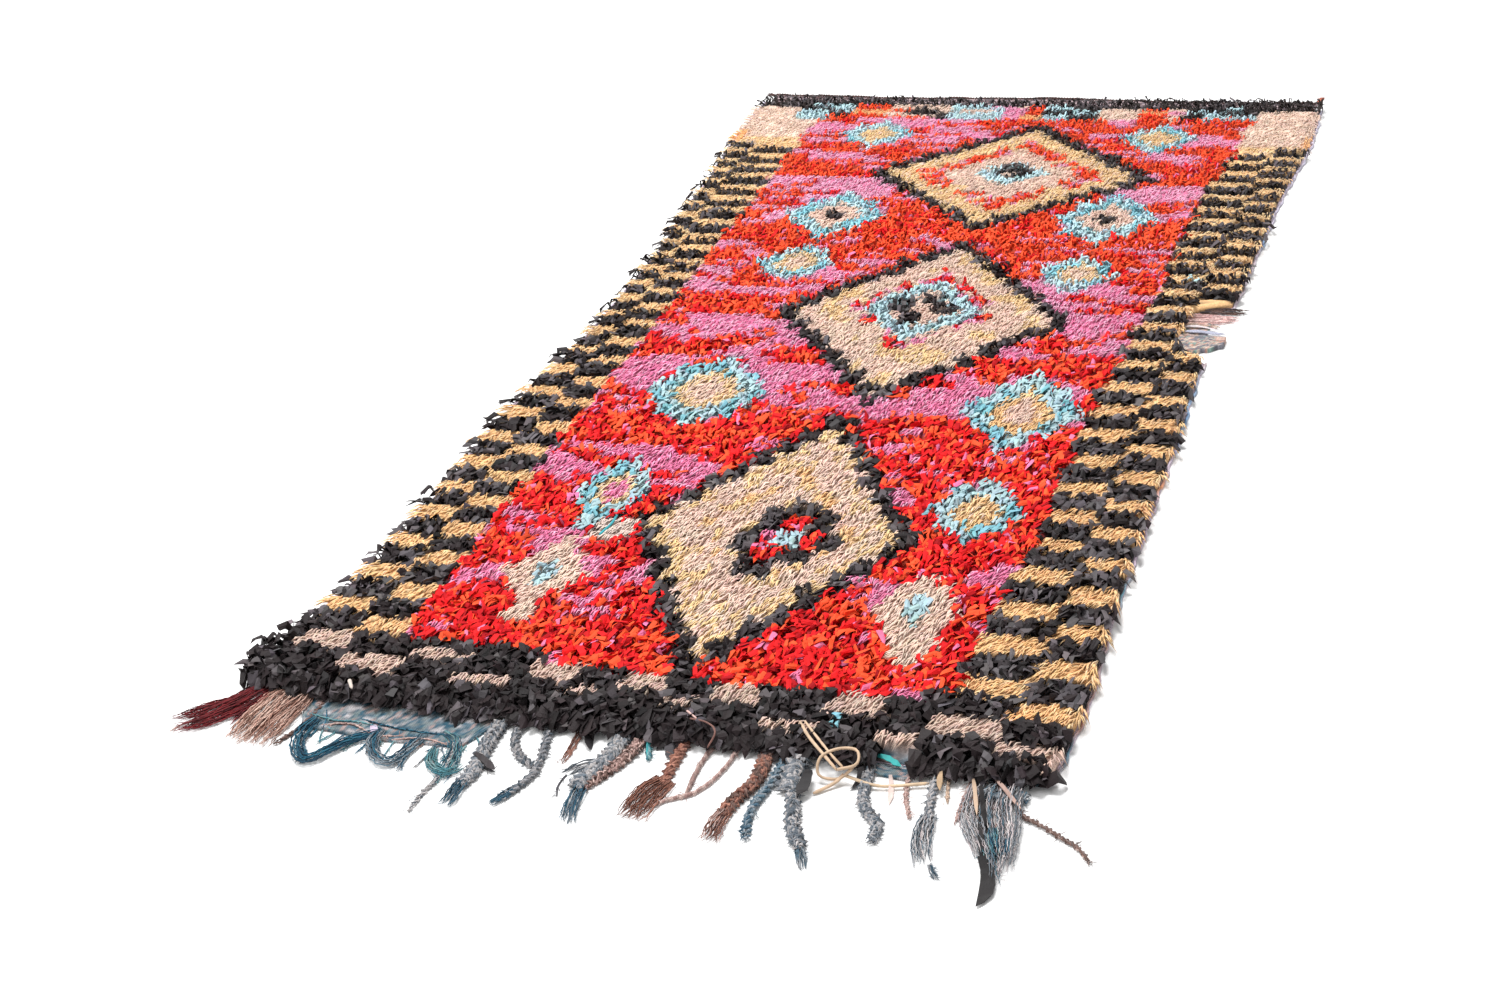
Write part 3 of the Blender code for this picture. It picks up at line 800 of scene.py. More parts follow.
def math_node(tree, operation, first, second=None):
    """A Math node whose inputs are sockets or numbers."""
    node = tree.nodes.new("ShaderNodeMath")
    node.operation = operation
    for socket, value in zip(node.inputs, (first, second)):
        if value is None:
            continue
        if isinstance(value, (int, float)):
            socket.default_value = value
        else:
            tree.links.new(value, socket)
    return node.outputs["Value"]


def noise_node(tree, scale, detail, roughness):
    """Noise in the rug's own space, as a value. scale is a socket or a number."""
    place = tree.nodes.new("ShaderNodeTexCoord")
    noise = tree.nodes.new("ShaderNodeTexNoise")
    tree.links.new(place.outputs["Object"], noise.inputs["Vector"])
    if isinstance(scale, (int, float)):
        noise.inputs["Scale"].default_value = scale
    else:
        tree.links.new(scale, noise.inputs["Scale"])
    noise.inputs["Detail"].default_value = detail
    noise.inputs["Roughness"].default_value = roughness
    return noise.outputs["Fac"]


def scaled_colour(tree, colour, value):
    """A colour times a value."""
    node = tree.nodes.new("ShaderNodeVectorMath")
    node.operation = "SCALE"
    tree.links.new(colour, node.inputs[0])
    tree.links.new(value, node.inputs["Scale"])
    return node.outputs["Vector"]


def attribute(tree, name, output):
    """A colour or value that the mesh carries at each point."""
    node = tree.nodes.new("ShaderNodeAttribute")
    node.attribute_name = name
    return node.outputs[output]


def swing(tree, value, depth):
    """How far a value is from its middle, times a depth."""
    return math_node(tree, "MULTIPLY", math_node(tree, "SUBTRACT", value, 0.5), depth)


def fibre_group():
    """The look that every strand shares: its own tint, with painted shade that darkens it towards the root,
    flecked by its fibres.
    """
    group = bpy.data.node_groups.get("Fibre")
    if group is not None:
        return group
    inputs = {"Root shade": 0.4, "Fleck scale": 700.0, "Fleck depth": 0.3, "Blotch depth": 0.2}
    outputs = {"Colour": "Color", "Height": "Float", "Roughness": "Float"}
    group, given, result = new_group("Fibre", inputs, outputs)
    fleck = noise_node(group, given["Fleck scale"], 3.0, 0.6)
    blotch = noise_node(group, 46.0, 3.0, 0.55)
    # Painted shade: each strand's tint darkens towards its root, down to Root shade there.
    rise = math_node(group, "POWER", attribute(group, "depth", "Fac"), 0.7)
    low = math_node(group, "SUBTRACT", 1.0, given["Root shade"])
    shade = math_node(group, "ADD", math_node(group, "MULTIPLY", rise, low), given["Root shade"])
    flecks = swing(group, fleck, given["Fleck depth"])
    blotched = swing(group, blotch, given["Blotch depth"])
    light = math_node(group, "ADD", math_node(group, "ADD", flecks, blotched), 1.0)
    shade = math_node(group, "MULTIPLY", shade, light)
    colour = scaled_colour(group, attribute(group, "tint", "Color"), shade)
    rough = math_node(group, "ADD", math_node(group, "MULTIPLY", fleck, 0.3), 0.6)
    group.links.new(colour, result["Colour"])
    group.links.new(fleck, result["Height"])
    group.links.new(rough, result["Roughness"])
    return group


def weave_group():
    """Plain weave: crossing ribs of warp and weft as a height, and flecks of other yarns as a colour, with
    painted shade darker between the ribs.
    """
    group = bpy.data.node_groups.get("Plain weave")
    if group is not None:
        return group
    inputs = {"Threads per metre": 330.0, "Fleck depth": 0.5}
    group, given, result = new_group("Plain weave", inputs, {"Colour": "Color", "Height": "Float"})
    place = group.nodes.new("ShaderNodeTexCoord")
    split = group.nodes.new("ShaderNodeSeparateXYZ")
    group.links.new(place.outputs["Object"], split.inputs[0])
    phase = math_node(group, "MULTIPLY", given["Threads per metre"], math.pi)
    warp = math_node(group, "SINE", math_node(group, "MULTIPLY", split.outputs["X"], phase))
    weft = math_node(group, "SINE", math_node(group, "MULTIPLY", split.outputs["Y"], phase))
    cross = math_node(group, "MULTIPLY", warp, weft)
    fleck = noise_node(group, 420.0, 2.0, 0.6)
    height = math_node(group, "ADD", math_node(group, "MULTIPLY", cross, 0.3), fleck)
    # Painted shade: the colour follows the height, darker between the ribs as well as flecked.
    light = math_node(group, "ADD", swing(group, height, given["Fleck depth"]), 1.0)
    group.links.new(scaled_colour(group, attribute(group, "tint", "Color"), light), result["Colour"])
    group.links.new(height, result["Height"])
    return group


def cloth_material(name, group, values, sheen, bump, roughness=None, shine=0.3):
    """A fabric finish: a shared group for its colour and relief, and the shader's own sheen."""
    material = bpy.data.materials.get(name)
    if material is not None:
        return material
    material = bpy.data.materials.new(name)
    material.use_nodes = True
    tree = material.node_tree
    shader = tree.nodes["Principled BSDF"]
    look = tree.nodes.new("ShaderNodeGroup")
    look.node_tree = group
    for socket, value in values.items():
        look.inputs[socket].default_value = value
    relief = tree.nodes.new("ShaderNodeBump")
    relief.inputs["Strength"].default_value = bump
    relief.inputs["Distance"].default_value = RELIEF
    tree.links.new(look.outputs["Height"], relief.inputs["Height"])
    tree.links.new(relief.outputs["Normal"], shader.inputs["Normal"])
    tree.links.new(look.outputs["Colour"], shader.inputs["Base Color"])
    if roughness is None:
        tree.links.new(look.outputs["Roughness"], shader.inputs["Roughness"])
    else:
        shader.inputs["Roughness"].default_value = roughness
    shader.inputs["Specular IOR Level"].default_value = shine
    shader.inputs["Sheen Weight"].default_value = sheen
    shader.inputs["Sheen Roughness"].default_value = SHEEN_SPREAD
    return material


def rag_material(name, sheen, roughness, shine):
    """Cotton rag, with painted shade darker at its root."""
    values = {"Root shade": 0.60, "Fleck scale": 420.0, "Fleck depth": 0.35, "Blotch depth": 0.3}
    return cloth_material(name, fibre_group(), values, sheen, 0.45, roughness, shine)


def black_rag():
    """The black rag of the pile and of the slips among the tassels."""
    return rag_material("black_rag", 0.03, 0.56, 0.23)


def yarn_material(name="spun_yarn"):
    """Combed wool yarn, with only slight painted shade at its root."""
    values = {"Root shade": 0.94, "Fleck scale": 900.0, "Fleck depth": 0.28, "Blotch depth": 0.16}
    return cloth_material(name, fibre_group(), values, 0.14, 0.35)


def marled_material():
    """Warp yarn spun from light and dark fibres, in flecks of about two millimetres."""
    values = {"Root shade": 0.86, "Fleck scale": 720.0, "Fleck depth": 2.5, "Blotch depth": 0.3}
    return cloth_material("marled_yarn", fibre_group(), values, 0.08, 0.6)


def weave_material(name, fleck, threads):
    """Plain weave of this many threads for each metre, with flecks of this depth."""
    values = {"Threads per metre": threads, "Fleck depth": fleck}
    return cloth_material(name, weave_group(), values, 0.05, 0.7, 0.9)


# Pile

Knots = namedtuple("Knots", "x y deep wide yarn")

# How far inside the outline the knots begin, and how far inside it the tufts keep their roots
KNOT_IN = 0.002
ROOT_IN = 0.004

# How wide the shaggy rim is, the size of its locks, and a row's depth for tufts of full size
RIM = 0.022
RIM_LOCK = 0.026
FULL_ROW = 0.018

# Where the checked borders and the last rows begin, and over what distance
BORDER_FROM = 0.43
BORDER_OVER = 0.02
LAST_ROWS_FROM = 1.045
LAST_ROWS_OVER = 0.03

# How rags and yarns lie: how unevenly they stand, how far they push out over the rim, how much longer they are
# in the borders, their sections' places, heights and widths as shares, and how much they roll, lift at the tip
# and turn
Lie = namedtuple("Lie", "uneven push longer steps lifts widths roll tip_lift turn")
RAG_LIE = Lie(
    0.18, 0.017, 0.12, (0.0, 0.30, 0.74, 1.0), (0.36, 0.98, 0.98, 0.74), (0.60, 1.05, 0.95, 0.3),
    0.50, 0.16, 0.30,
)
YARN_LIE = Lie(0.07, 0.013, -0.16, (0.0, 0.50, 1.0), (0.60, 1.0, 0.88), (0.9, 1.0, 0.3), 0.25, 0.05, 0.1)

# The lowest and highest places of a tuft, and the height of its knot
TUFT_LOW = 0.0008
PILE_TOP = 0.0415
KNOT_TOP = 0.003


def lay_knots(sizes):
    """All the knots: the true middle of each visible tuft, its cell's depth and width, and its yarn."""
    first = row_number(np.array([0.0]), np.array([FIRST_ROW_Y]))[0]
    last = row_number(np.array([0.0]), np.array([LAST_ROW_Y]))[0]
    draw = np.random.default_rng(SEED)
    xs, ys, deeps, wides = [], [], [], []
    for row in range(first, last + 1):
        chart_y = float(row_middle(row))
        deep = float(row_middle(row + 0.5) - row_middle(row - 0.5))
        _, true_y = seen_from(0.0, chart_y, CHART_HEIGHT)
        left = float(edge_at(true_y, "left")) + KNOT_IN
        right = float(right_edge(true_y)) - KNOT_IN
        count = round((right - left) / sizes.knot_pitch)
        x = left + (np.arange(count) + 0.5) * (right - left) / count
        wave = 0.003 * np.sin(x * 9.0 + row * 0.8)
        y = true_y + ROW_SKEW * x + wave
        xs.append(x + draw.normal(0, 0.0012, count))
        ys.append(y + draw.normal(0, 0.0008, count))
        deeps.append(np.full(count, deep))
        wides.append(np.full(count, (right - left) / count))
    x = np.concatenate(xs)
    y = np.concatenate(ys)
    yarn = chart(*chart_place(x, y, CHART_HEIGHT))
    return Knots(x, y, np.concatenate(deeps), np.concatenate(wides), yarn)


def tuft_strands(knots, pick, cut, draw):
    """The knot that each strand of some knots belongs to, and the place of the strand's middle."""
    area = knots.deep[pick] * knots.wide[pick]
    crowd = 1 + 0.30 * ramp(knots.y[pick], -0.1, 0.9)
    count = np.floor(cut.density * area * crowd + draw.random(len(pick))).astype(int)
    owner = np.repeat(pick, count)
    total = len(owner)
    x = knots.x[owner] + (draw.random(total) - 0.5) * knots.wide[owner]
    y = knots.y[owner] + (draw.random(total) - 0.5) * knots.deep[owner]
    return owner, x, y


def strand_ways(knots, owner, x, y, cut, wild, draw):
    """Which way the strands fall: towards the front end and a little left, those of one knot much alike."""
    stray = cut.stray + 0.5 * wild
    lean_left = 0.22 + 0.30 * ramp(x, 0.35, 0.15)
    lock = draw.standard_normal(len(knots.x))[owner]
    angle = -math.pi / 2 - lean_left + stray * (0.75 * lock + 0.60 * draw.standard_normal(len(y)))
    return np.stack([np.cos(angle), np.sin(angle)], axis=-1)


def strand_spines(x, y, way, run, stand, gap, out, lie, cut, draw):
    """The strands' middle lines. They rise from their knots, and droop where they reach past the rim."""
    root = np.stack([x, y], axis=-1) - way * (0.58 * run)[:, None]
    root_gap, root_out = inside(root[:, 0], root[:, 1])
    root -= root_out * np.maximum(ROOT_IN - root_gap, 0)[:, None]
    steps = np.array(lie.steps)
    stations = len(steps)
    spine = np.empty((len(x), stations, 3))
    spine[..., :2] = root[:, None] + way[:, None] * (steps[None] * run[:, None])[..., None]
    droop = smooth((gap + 0.012) / 0.024)
    low = np.where(out[..., 1] > 0.5, 0.90, 0.40)
    lean = mix(low, 1.0, droop)[:, None] * np.ones(stations)
    lean[:, 1] = mix(1.0, lean[:, 1], 0.4)
    spine[..., 2] = KNOT_TOP + (stand - KNOT_TOP)[:, None] * np.array(lie.lifts)[None] * lean
    loose = np.array([0.3, 1.0, 1.0, 1.0])[:stations]
    spine += draw.normal(0, cut.crumple, (len(x), stations, 3)) * loose[None, :, None]
    spine[:, -1, 2] += draw.normal(0, lie.tip_lift, len(x)) * stand
    return spine


def tuft_shape(knots, pick, cut, colour_of, draw, sizes, rag):
    """The tufts of some knots as one shape. Rags are wide and crumpled, and yarns are thin and combed."""
    lie = RAG_LIE if rag else YARN_LIE
    owner, x, y = tuft_strands(knots, pick, cut, draw)
    total = len(owner)
    grow = np.clip(knots.deep[owner] / FULL_ROW, 0.60, 1.20) ** 0.85
    # Rags of the checked borders stand over the yarn beside them, and the last rows stand up at the back end
    border = ramp(np.abs(x), BORDER_FROM, BORDER_OVER)
    last_rows = ramp(y, LAST_ROWS_FROM, LAST_ROWS_OVER)
    over = 1.05 + 0.05 * border + 0.08 * last_rows if rag else 1.0 - 0.06 * border
    stand = pile_height(x, y, sizes) * draw.uniform(1 - lie.uneven, 1 + lie.uneven * 0.9, total) * over
    wild = (1 - ramp(y, FRONT_Y, 0.20)) if rag else np.zeros(total)
    way = strand_ways(knots, owner, x, y, cut, wild, draw)
    gap, out = inside(x, y)
    near = 1 - smooth(gap / RIM)
    shaggy = near * blotches(x, y, RIM_LOCK, RIM_LOCK, SEED + 14)
    x = x + out[..., 0] * lie.push * shaggy
    y = y + out[..., 1] * np.where(y < 0, 0.011, 0.003) * shaggy
    way = unit(way + out * (1.1 * near)[:, None])
    reach = cut.length * grow * draw.uniform(0.80, 1.18, total)
    reach = reach * (1 + lie.longer * border * ramp(y, -0.9, 0.9))
    run = np.sqrt(np.maximum(reach**2 - (0.62 * stand) ** 2, (0.45 * reach) ** 2))
    run *= (1 - 0.20 * wild * draw.random(total)) * (1 + 0.50 * shaggy)
    roll = draw.normal(0, lie.roll, total)
    spine = strand_spines(x, y, way, run, stand, gap, out, lie, cut, draw)

    stations = len(lie.steps)
    half_wide = cut.width / 2 * (grow * draw.uniform(0.72, 1.28, total))[:, None] * np.array(lie.widths)[None]
    back_share = ramp(y, -0.1, 0.9)
    half_thick = np.full((total, stations), cut.thick / 2)
    if rag:
        half_wide = half_wide * ((1 + 0.45 * wild) * mix(1.0, 0.80, back_share))[:, None]
        half_wide *= draw.uniform(0.85, 1.15, (total, stations))
        # This draw has no use of its own. It keeps the draws after it in their order.
        draw.random(total)
        half_thick = half_thick * draw.uniform(0.6, 1.5, (total, stations))
    else:
        half_wide = half_wide * mix(1.0, 0.90, back_share)[:, None]
    turn = roll[:, None] + draw.normal(0, lie.turn, (total, stations))
    side = np.stack([-way[:, 1], way[:, 0], np.zeros(total)], axis=-1)
    rise = np.array([0.0, 0.0, 1.0])
    facing = side[:, None] * np.cos(turn)[..., None] + rise * np.sin(turn)[..., None]
    tints = np.repeat(colour_of(owner, x, y)[:, None], stations, axis=1)
    shape = tubes(spine, facing, half_wide, half_thick, tints)
    np.clip(shape.points[:, 2], TUFT_LOW, PILE_TOP, out=shape.points[:, 2])
    return shape


# How much lighter or darker than their colour the black, red and orange rags are, then all other strands, and
# then whole knots
TONE_SPREAD = {BLACK: 0.32, RED: 0.10, ORANGE: 0.10}
EVEN_SPREAD = 0.045
KNOT_SPREAD = 0.05


def yarn_tints(colours, knots, draw):
    """A function that gives each strand of a knot the tint of its yarn."""

    def tint_of(owner, x, y):
        """The tints of strands of these knots at these places."""
        tints = np.zeros((len(owner), 3))
        numbers = knots.yarn[owner]
        tone = draw.normal(0, KNOT_SPREAD, len(knots.x))[owner]
        for yarn in YARNS:
            here = np.nonzero(numbers == yarn.number)[0]
            if not len(here):
                continue
            many = len(here)
            back_share = ramp(y[here], -0.35, 0.9)

            def some(colour, spread, share, base):
                """Strands of another colour among the others, as a share of them."""
                other = dyed(getattr(colours, colour), many, draw, spread, 0.03)
                return np.where((draw.random(many) < share)[:, None], other, base)

            spread = TONE_SPREAD.get(yarn.number, EVEN_SPREAD)
            base = dyed(getattr(colours, yarn.colour), many, draw, spread, 0.03)
            if yarn.number == BLACK:
                worn = blotches(x[here], y[here], 0.06, 0.03, SEED + 8)
                middle = ramp(y[here], -0.98, 0.08)
                base = some("brown_black", 0.15, ramp(y[here], 0.1, 0.7), base)
                base = some("grey", 0.34, 0.17 + 0.46 * (worn > 0.48) * middle, base)
            elif yarn.number == GOLD:
                # More pale gold towards the back end: partly a paler yarn there, partly painted light to make
                # up for the deeper shade there.
                base = some("pale_gold", 0.10, 0.2 + 0.7 * back_share, base)
            elif yarn.number == PINK:
                base = some("mauve", 0.10, 0.25 + 0.65 * back_share, base)
            elif yarn.number == RED:
                base = some("orange", 0.12, 0.22, base)
                base = some("deep_red", 0.15, 0.16, base)
            elif yarn.number == ORANGE:
                base = some("red", 0.12, 0.24 - 0.14 * back_share, base)
            if yarn.number in (RED, ORANGE):
                base = some("pink", 0.12, 0.045, base)
            elif yarn.number in (BEIGE, CREAM, STRAW):
                base = some("cream" if yarn.number != CREAM else "beige", 0.08, 0.25, base)
            # Painted light: blue and teal rags are lighter towards the back end, to make up for the deeper
            # shade that falls on them there.
            if yarn.number in (BLUE, TEAL):
                base = base * mix(1.0, 1.32, back_share)[:, None]
            # Beige is darker in the front end's patches: partly a browner yarn, partly painted shade among the
            # black rags there.
            if yarn.number == BEIGE:
                base = base * mix(0.82, 1.0, ramp(y[here], -1.0, 0.12))[:, None]
            tints[here] = base
        return tints * (1 + tone)[:, None]

    return tint_of


def tie_pile(sizes, colours):
    """Ties every knot, one piece for each family of rags or yarns."""
    knots = lay_knots(sizes)
    draw = np.random.default_rng(SEED + 20)
    materials = {
        "pile_black": black_rag(),
        "pile_red": rag_material("red_rag", 0.0, 0.70, 0.12),
        "pile_blue": rag_material("blue_rag", 0.04, 0.72, 0.20),
        "pile_gold": yarn_material(),
        "pile_cream": yarn_material(),
        "pile_pink": yarn_material(),
    }
    for name, material in materials.items():
        family = [yarn for yarn in YARNS if yarn.piece == name]
        rag = family[0].kind == "rag"
        cut = CUTS[name]
        pick = np.nonzero(np.isin(knots.yarn, [yarn.number for yarn in family]))[0]
        if not len(pick):
            raise RuntimeError(f"{name}: the chart has no knots of this yarn")
        shape = tuft_shape(knots, pick, cut, yarn_tints(colours, knots, draw), draw, sizes, rag)
        make_piece(name, shape, material, ["rug_body"], flat=rag)


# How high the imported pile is, as a share of the pile: where the weave is bare, under rags and under yarns
BARE_PACKED = 0.20
RAG_PACKED = 0.50
YARN_PACKED = 0.76


def under_pile(sizes, colours):
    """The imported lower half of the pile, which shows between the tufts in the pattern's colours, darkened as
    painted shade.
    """
    draw = np.random.default_rng(SEED + 30)
    rows, columns = 136, 78
    u, v = shares(rows, columns)
    y = mix(FRONT_Y + 0.004, BACK_Y - 0.004, v)
    x = mix(edge_at(y, "left") + 0.004, right_edge(y) - 0.004, u)
    gap, _ = inside(x, y)
    number = chart(*chart_place(x.ravel(), y.ravel(), UNDER_CHART_HEIGHT))
    speckle = paints(FRONT_PALETTE)
    tints = speckle[draw.integers(len(speckle), size=len(number))]
    packed = np.full(len(number), BARE_PACKED)
    for yarn in YARNS:
        here = number == yarn.number
        rag = yarn.kind == "rag"
        # Painted shade: the lower pile takes its yarn's colour darkened, most under rags, for the shade deep
        # between the tufts.
        shade = 0.70 if yarn.piece == "pile_blue" else 0.42 if rag else 0.92
        tints[here] = np.array(getattr(colours, yarn.colour)) * shade
        packed[here] = RAG_PACKED if rag else YARN_PACKED
    height = pile_height(x, y, sizes) * packed.reshape(x.shape) * mix(0.45, 1.0, smooth(gap / 0.016))
    z = np.maximum(height + draw.normal(0, 0.0011, height.shape), sizes.ground + 0.0012)
    top = np.stack([x, y, z], axis=-1)
    shape = grid_sheet(top, sizes.ground + 0.0004, tints.reshape(rows, columns, 3))
    values = {"Root shade": 0.5, "Fleck scale": 260.0, "Fleck depth": 0.9, "Blotch depth": 0.4}
    material = cloth_material("packed_pile", fibre_group(), values, 0.1, 1.0)
    return make_piece("under_pile", shape, material, ["rug_body"])


def ground_cloth(sizes, colours):
    """The woven ground that the knots are tied on, one thin sheet whose long edges show beside the pile."""
    rows, columns = 110, 12
    u, v = shares(rows, columns)
    y = mix(FRONT_Y + 0.001, BACK_Y - 0.001, v)
    x = mix(edge_at(y, "left") - 0.002, right_edge(y) + 0.001, u)
    z = sizes.ground + 0.0001 * np.sin(y * 900)
    tints = np.ones((rows, columns, 3)) * np.array(colours.ground)
    tints *= 0.85 + 0.3 * blotches(x, y, 0.02, 0.03, SEED + 9)[..., None]
    shape = grid_sheet(np.stack([x, y, z], axis=-1), 0.0003, tints)
    return make_piece("ground_cloth", shape, weave_material("ground_weave", 0.5, 330.0), ["rug_body"])


# Routes and bundles of yarn


def curve_through(places, stations):
    """A smooth curve through the places, as that many even stations, and its length."""
    places = np.array(places, float)
    ends = np.concatenate([[2 * places[0] - places[1]], places, [2 * places[-1] - places[-2]]])
    t = np.linspace(0, 1, 16, endpoint=False)[:, None]
    runs = []
    for a, b, c, d in zip(ends, ends[1:], ends[2:], ends[3:]):
        square = (2 * a - 5 * b + 4 * c - d) * t**2
        cube = (3 * b - a - 3 * c + d) * t**3
        runs.append(0.5 * (2 * b + (c - a) * t + square + cube))
    curve = np.concatenate(runs + [places[-1:]])
    along = np.append(0, np.cumsum(np.linalg.norm(np.diff(curve, axis=0), axis=1)))
    wanted = np.linspace(0, along[-1], stations)
    route = np.stack([np.interp(wanted, along, column) for column in curve.T], axis=-1)
    return route, along[-1]


def flat_side(route):
    """The level direction across a route at each station."""
    way = unit(np.gradient(route, axis=0))
    return unit(np.stack([-way[:, 1], way[:, 0], np.zeros(len(way))], axis=-1))


# A bundle's kind, route, width and height, how often its plies turn, how many yarns it has and their colours,
# how far its end spreads, how thick its yarns are beside the others, and how much its lower part widens
Bundle = namedtuple(
    "Bundle", "kind route width height turns yarns palette flare thick club", defaults=(1.0, 1.0)
)


def in_mm(name, kind, route, width, height, turns, yarns, palette, flare, thick=1.0, club=1.0):
    """A named bundle of the tables, which give its sizes and its route as x, y, x, y in millimetres."""
    if len(route) % 2:
        raise ValueError(f"{name}: a place in its route has no y")
    places = [(x / 1000, y / 1000) for x, y in zip(route[::2], route[1::2])]
    return Bundle(kind, places, width / 1000, height / 1000, turns, yarns, palette, flare / 1000, thick, club)


# How bundles are made: the distance between a bundle's stations, how much of its width a ply takes, the length
# of a yarn's turn in its ply and of a stretch of colour in marled yarn, the lowest place of a yarn, and where
# the frayed end begins, as a share of the bundle
STATION_GAPS = {"braid": 0.0050, "twist": 0.0050, "hank": 0.0062, "strand": 0.006}
PLY_ROOMS = {"braid": 0.27, "twist": 0.30, "hank": 0.0, "strand": 0.0}
PLY_LAY = 0.016
MARL_RUN = 0.009
YARN_LOW = 0.0004
FRAY_FROM = 0.78
FRAY_OVER = 0.22


def ply_path(bundle, ply, plies, t, width, height, room, draw):
    """How far a ply lies across and above the bundle's middle at each station."""
    phase = 2 * math.pi * (bundle.turns * t + ply / plies)
    if bundle.kind == "braid":
        return (width / 2) * (1 - 2 * room) * np.sin(phase) * 1.25, (height / 2) * 0.55 * np.sin(2 * phase)
    if bundle.kind == "twist":
        return (width / 2) * (1 - 2 * room) * np.cos(phase) * 1.2, (height / 2) * 0.5 * np.sin(phase)
    if bundle.kind == "strand":
        return np.zeros(len(t)), np.zeros(len(t))
    spot = (ply + 0.5) / plies * 2 - 1 + draw.normal(0, 0.10)
    drift = draw.normal(0, 0.22) * np.sin(t * draw.uniform(2, 5) + draw.uniform(0, 6))
    crown = np.sqrt(np.clip(1 - np.clip(spot, -1, 1) ** 2, 0.05, 1))
    return width / 2 * np.clip(spot + drift, -1.1, 1.1), (height / 2) * crown * draw.uniform(-0.8, 1.0)


def marled_tints(palette, places, draw):
    """The tints of one yarn along its length, which change where it is spun from two colours."""
    base = palette[draw.integers(len(palette))]
    light = 1 + 0.12 * draw.standard_normal()
    speck = 1 + 0.10 * draw.standard_normal((len(places), 1))
    if len(palette) > 1:
        other = palette[draw.integers(len(palette))]
        share = (np.sin(places / MARL_RUN + draw.uniform(0, 6)) > 0.2)[:, None]
        base = np.where(share, other, base[None])
    return np.clip(base * light * speck, 0.003, 1) * np.ones((len(places), 1))


def bundle_shape(bundle, draw, yarn):
    """A braid, twist or loose hank of yarns along a route on the floor, with fuzz and wisps at its end."""
    _, reach = curve_through(bundle.route, 8)
    stations = max(6, int(reach / STATION_GAPS[bundle.kind]))
    route, reach = curve_through(bundle.route, stations)
    t = np.linspace(0, 1, stations)
    middle = np.c_[route, np.zeros(stations)]
    side = flat_side(middle)
    full = smooth(t * reach / 0.03)
    if bundle.kind in ("braid", "twist"):
        bundle = bundle._replace(width=bundle.width * 1.22)
    hank = bundle.kind == "hank"
    width = bundle.width * mix(0.75, 1.0, full) * mix(1.0, bundle.club, ramp(t, 0.35, 0.3))
    height = bundle.height * mix(0.6, 1.0, full) * mix(1.0, 0.7, smooth(t))
    palette = paints(bundle.palette)
    plies = {"braid": 3, "twist": 2, "hank": bundle.yarns, "strand": 1}[bundle.kind]
    per_ply = {"hank": 1, "strand": bundle.yarns}.get(bundle.kind, bundle.yarns + 2)
    room = PLY_ROOMS[bundle.kind]
    radius = max(yarn * (0.38 if hank else 0.5), 0.37 * room * bundle.width) * bundle.thick
    ring = 0.0 if per_ply == 1 else 0.5 * max(room, radius / bundle.width)
    end = ramp(t, FRAY_FROM, FRAY_OVER)
    spines, radii, tints = [], [], []
    for ply in range(plies):
        across, up = ply_path(bundle, ply, plies, t, width, height, room, draw)
        for strand in range(per_ply):
            own = 2 * math.pi * (strand / per_ply + t * reach / PLY_LAY * (1 if ply % 2 else -1))
            offset = across + width * ring * np.cos(own)
            lift = up + height * ring * 0.8 * np.sin(own)
            if hank:
                crimp = 2 * math.pi * (t * reach / draw.uniform(0.011, 0.018) + draw.random())
                offset = offset + 0.0014 * full * np.sin(crimp)
            offset = offset + end * bundle.flare * draw.normal(0, 0.5)
            centre = np.maximum(height / 2 + lift, radius + YARN_LOW)
            spine = middle + side * offset[:, None]
            spine[:, 2] = centre + end * bundle.flare * 0.1 * abs(draw.normal())
            spine[1:, :2] += draw.normal(0, 0.0004, (stations - 1, 2))
            keep = 1 + draw.uniform(-0.30 if hank else -0.12, 0.06) * (bundle.flare > 0)
            if keep < 1:
                at = np.linspace(0, keep, stations)
                spine = np.stack([np.interp(at, t, column) for column in spine.T], axis=-1)
            spines.append(spine)
            radii.append(radius * mix(1.0, 0.45, end) * draw.uniform(0.85, 1.15))
            tints.append(marled_tints(palette, t * reach, draw))
    radii = np.array(radii)
    shape = tubes(np.array(spines), np.array([side] * len(spines)), radii, radii, np.array(tints))
    np.maximum(shape.points[:, 2], YARN_LOW, out=shape.points[:, 2])
    fuzz = fuzz_shape(np.c_[route, height / 2], side, width, palette, draw, int(reach / 0.014))
    return [shape, fuzz]


def fuzz_shape(route, side, width, palette, draw, count):
    """Short fibres that stand off a bundle."""
    count = max(count, 6)
    at = draw.integers(1, len(route) - 1, count)
    way = unit(np.gradient(route, axis=0))[at]
    sign = np.where(draw.random(count) < 0.5, -1.0, 1.0)
    out = side[at] * sign[:, None]
    start = route[at] + out * (width[at] * 0.34)[:, None]
    reach = draw.uniform(0.005, 0.013, count)
    head = unit(out * draw.uniform(0.3, 1.0, (count, 1)) + way * draw.uniform(-0.2, 1.0, (count, 1)))
    share = np.array([0.0, 0.5, 1.0])[None, :, None]
    spine = start[:, None] + head[:, None] * reach[:, None, None] * share
    spine[..., 2] = np.clip(start[:, None, 2] + draw.normal(0, 0.0015, (count, 3)), 0.0008, 0.03)
    facing = np.cross(head, (0.0, 0.0, 1.0))[:, None].repeat(3, 1)
    radius = np.full((count, 3), 0.0005)
    tint = palette[draw.integers(len(palette), size=count)]
    tint = np.repeat(tint[:, None], 3, axis=1)
    return tubes(spine, facing, radius, radius, tint)


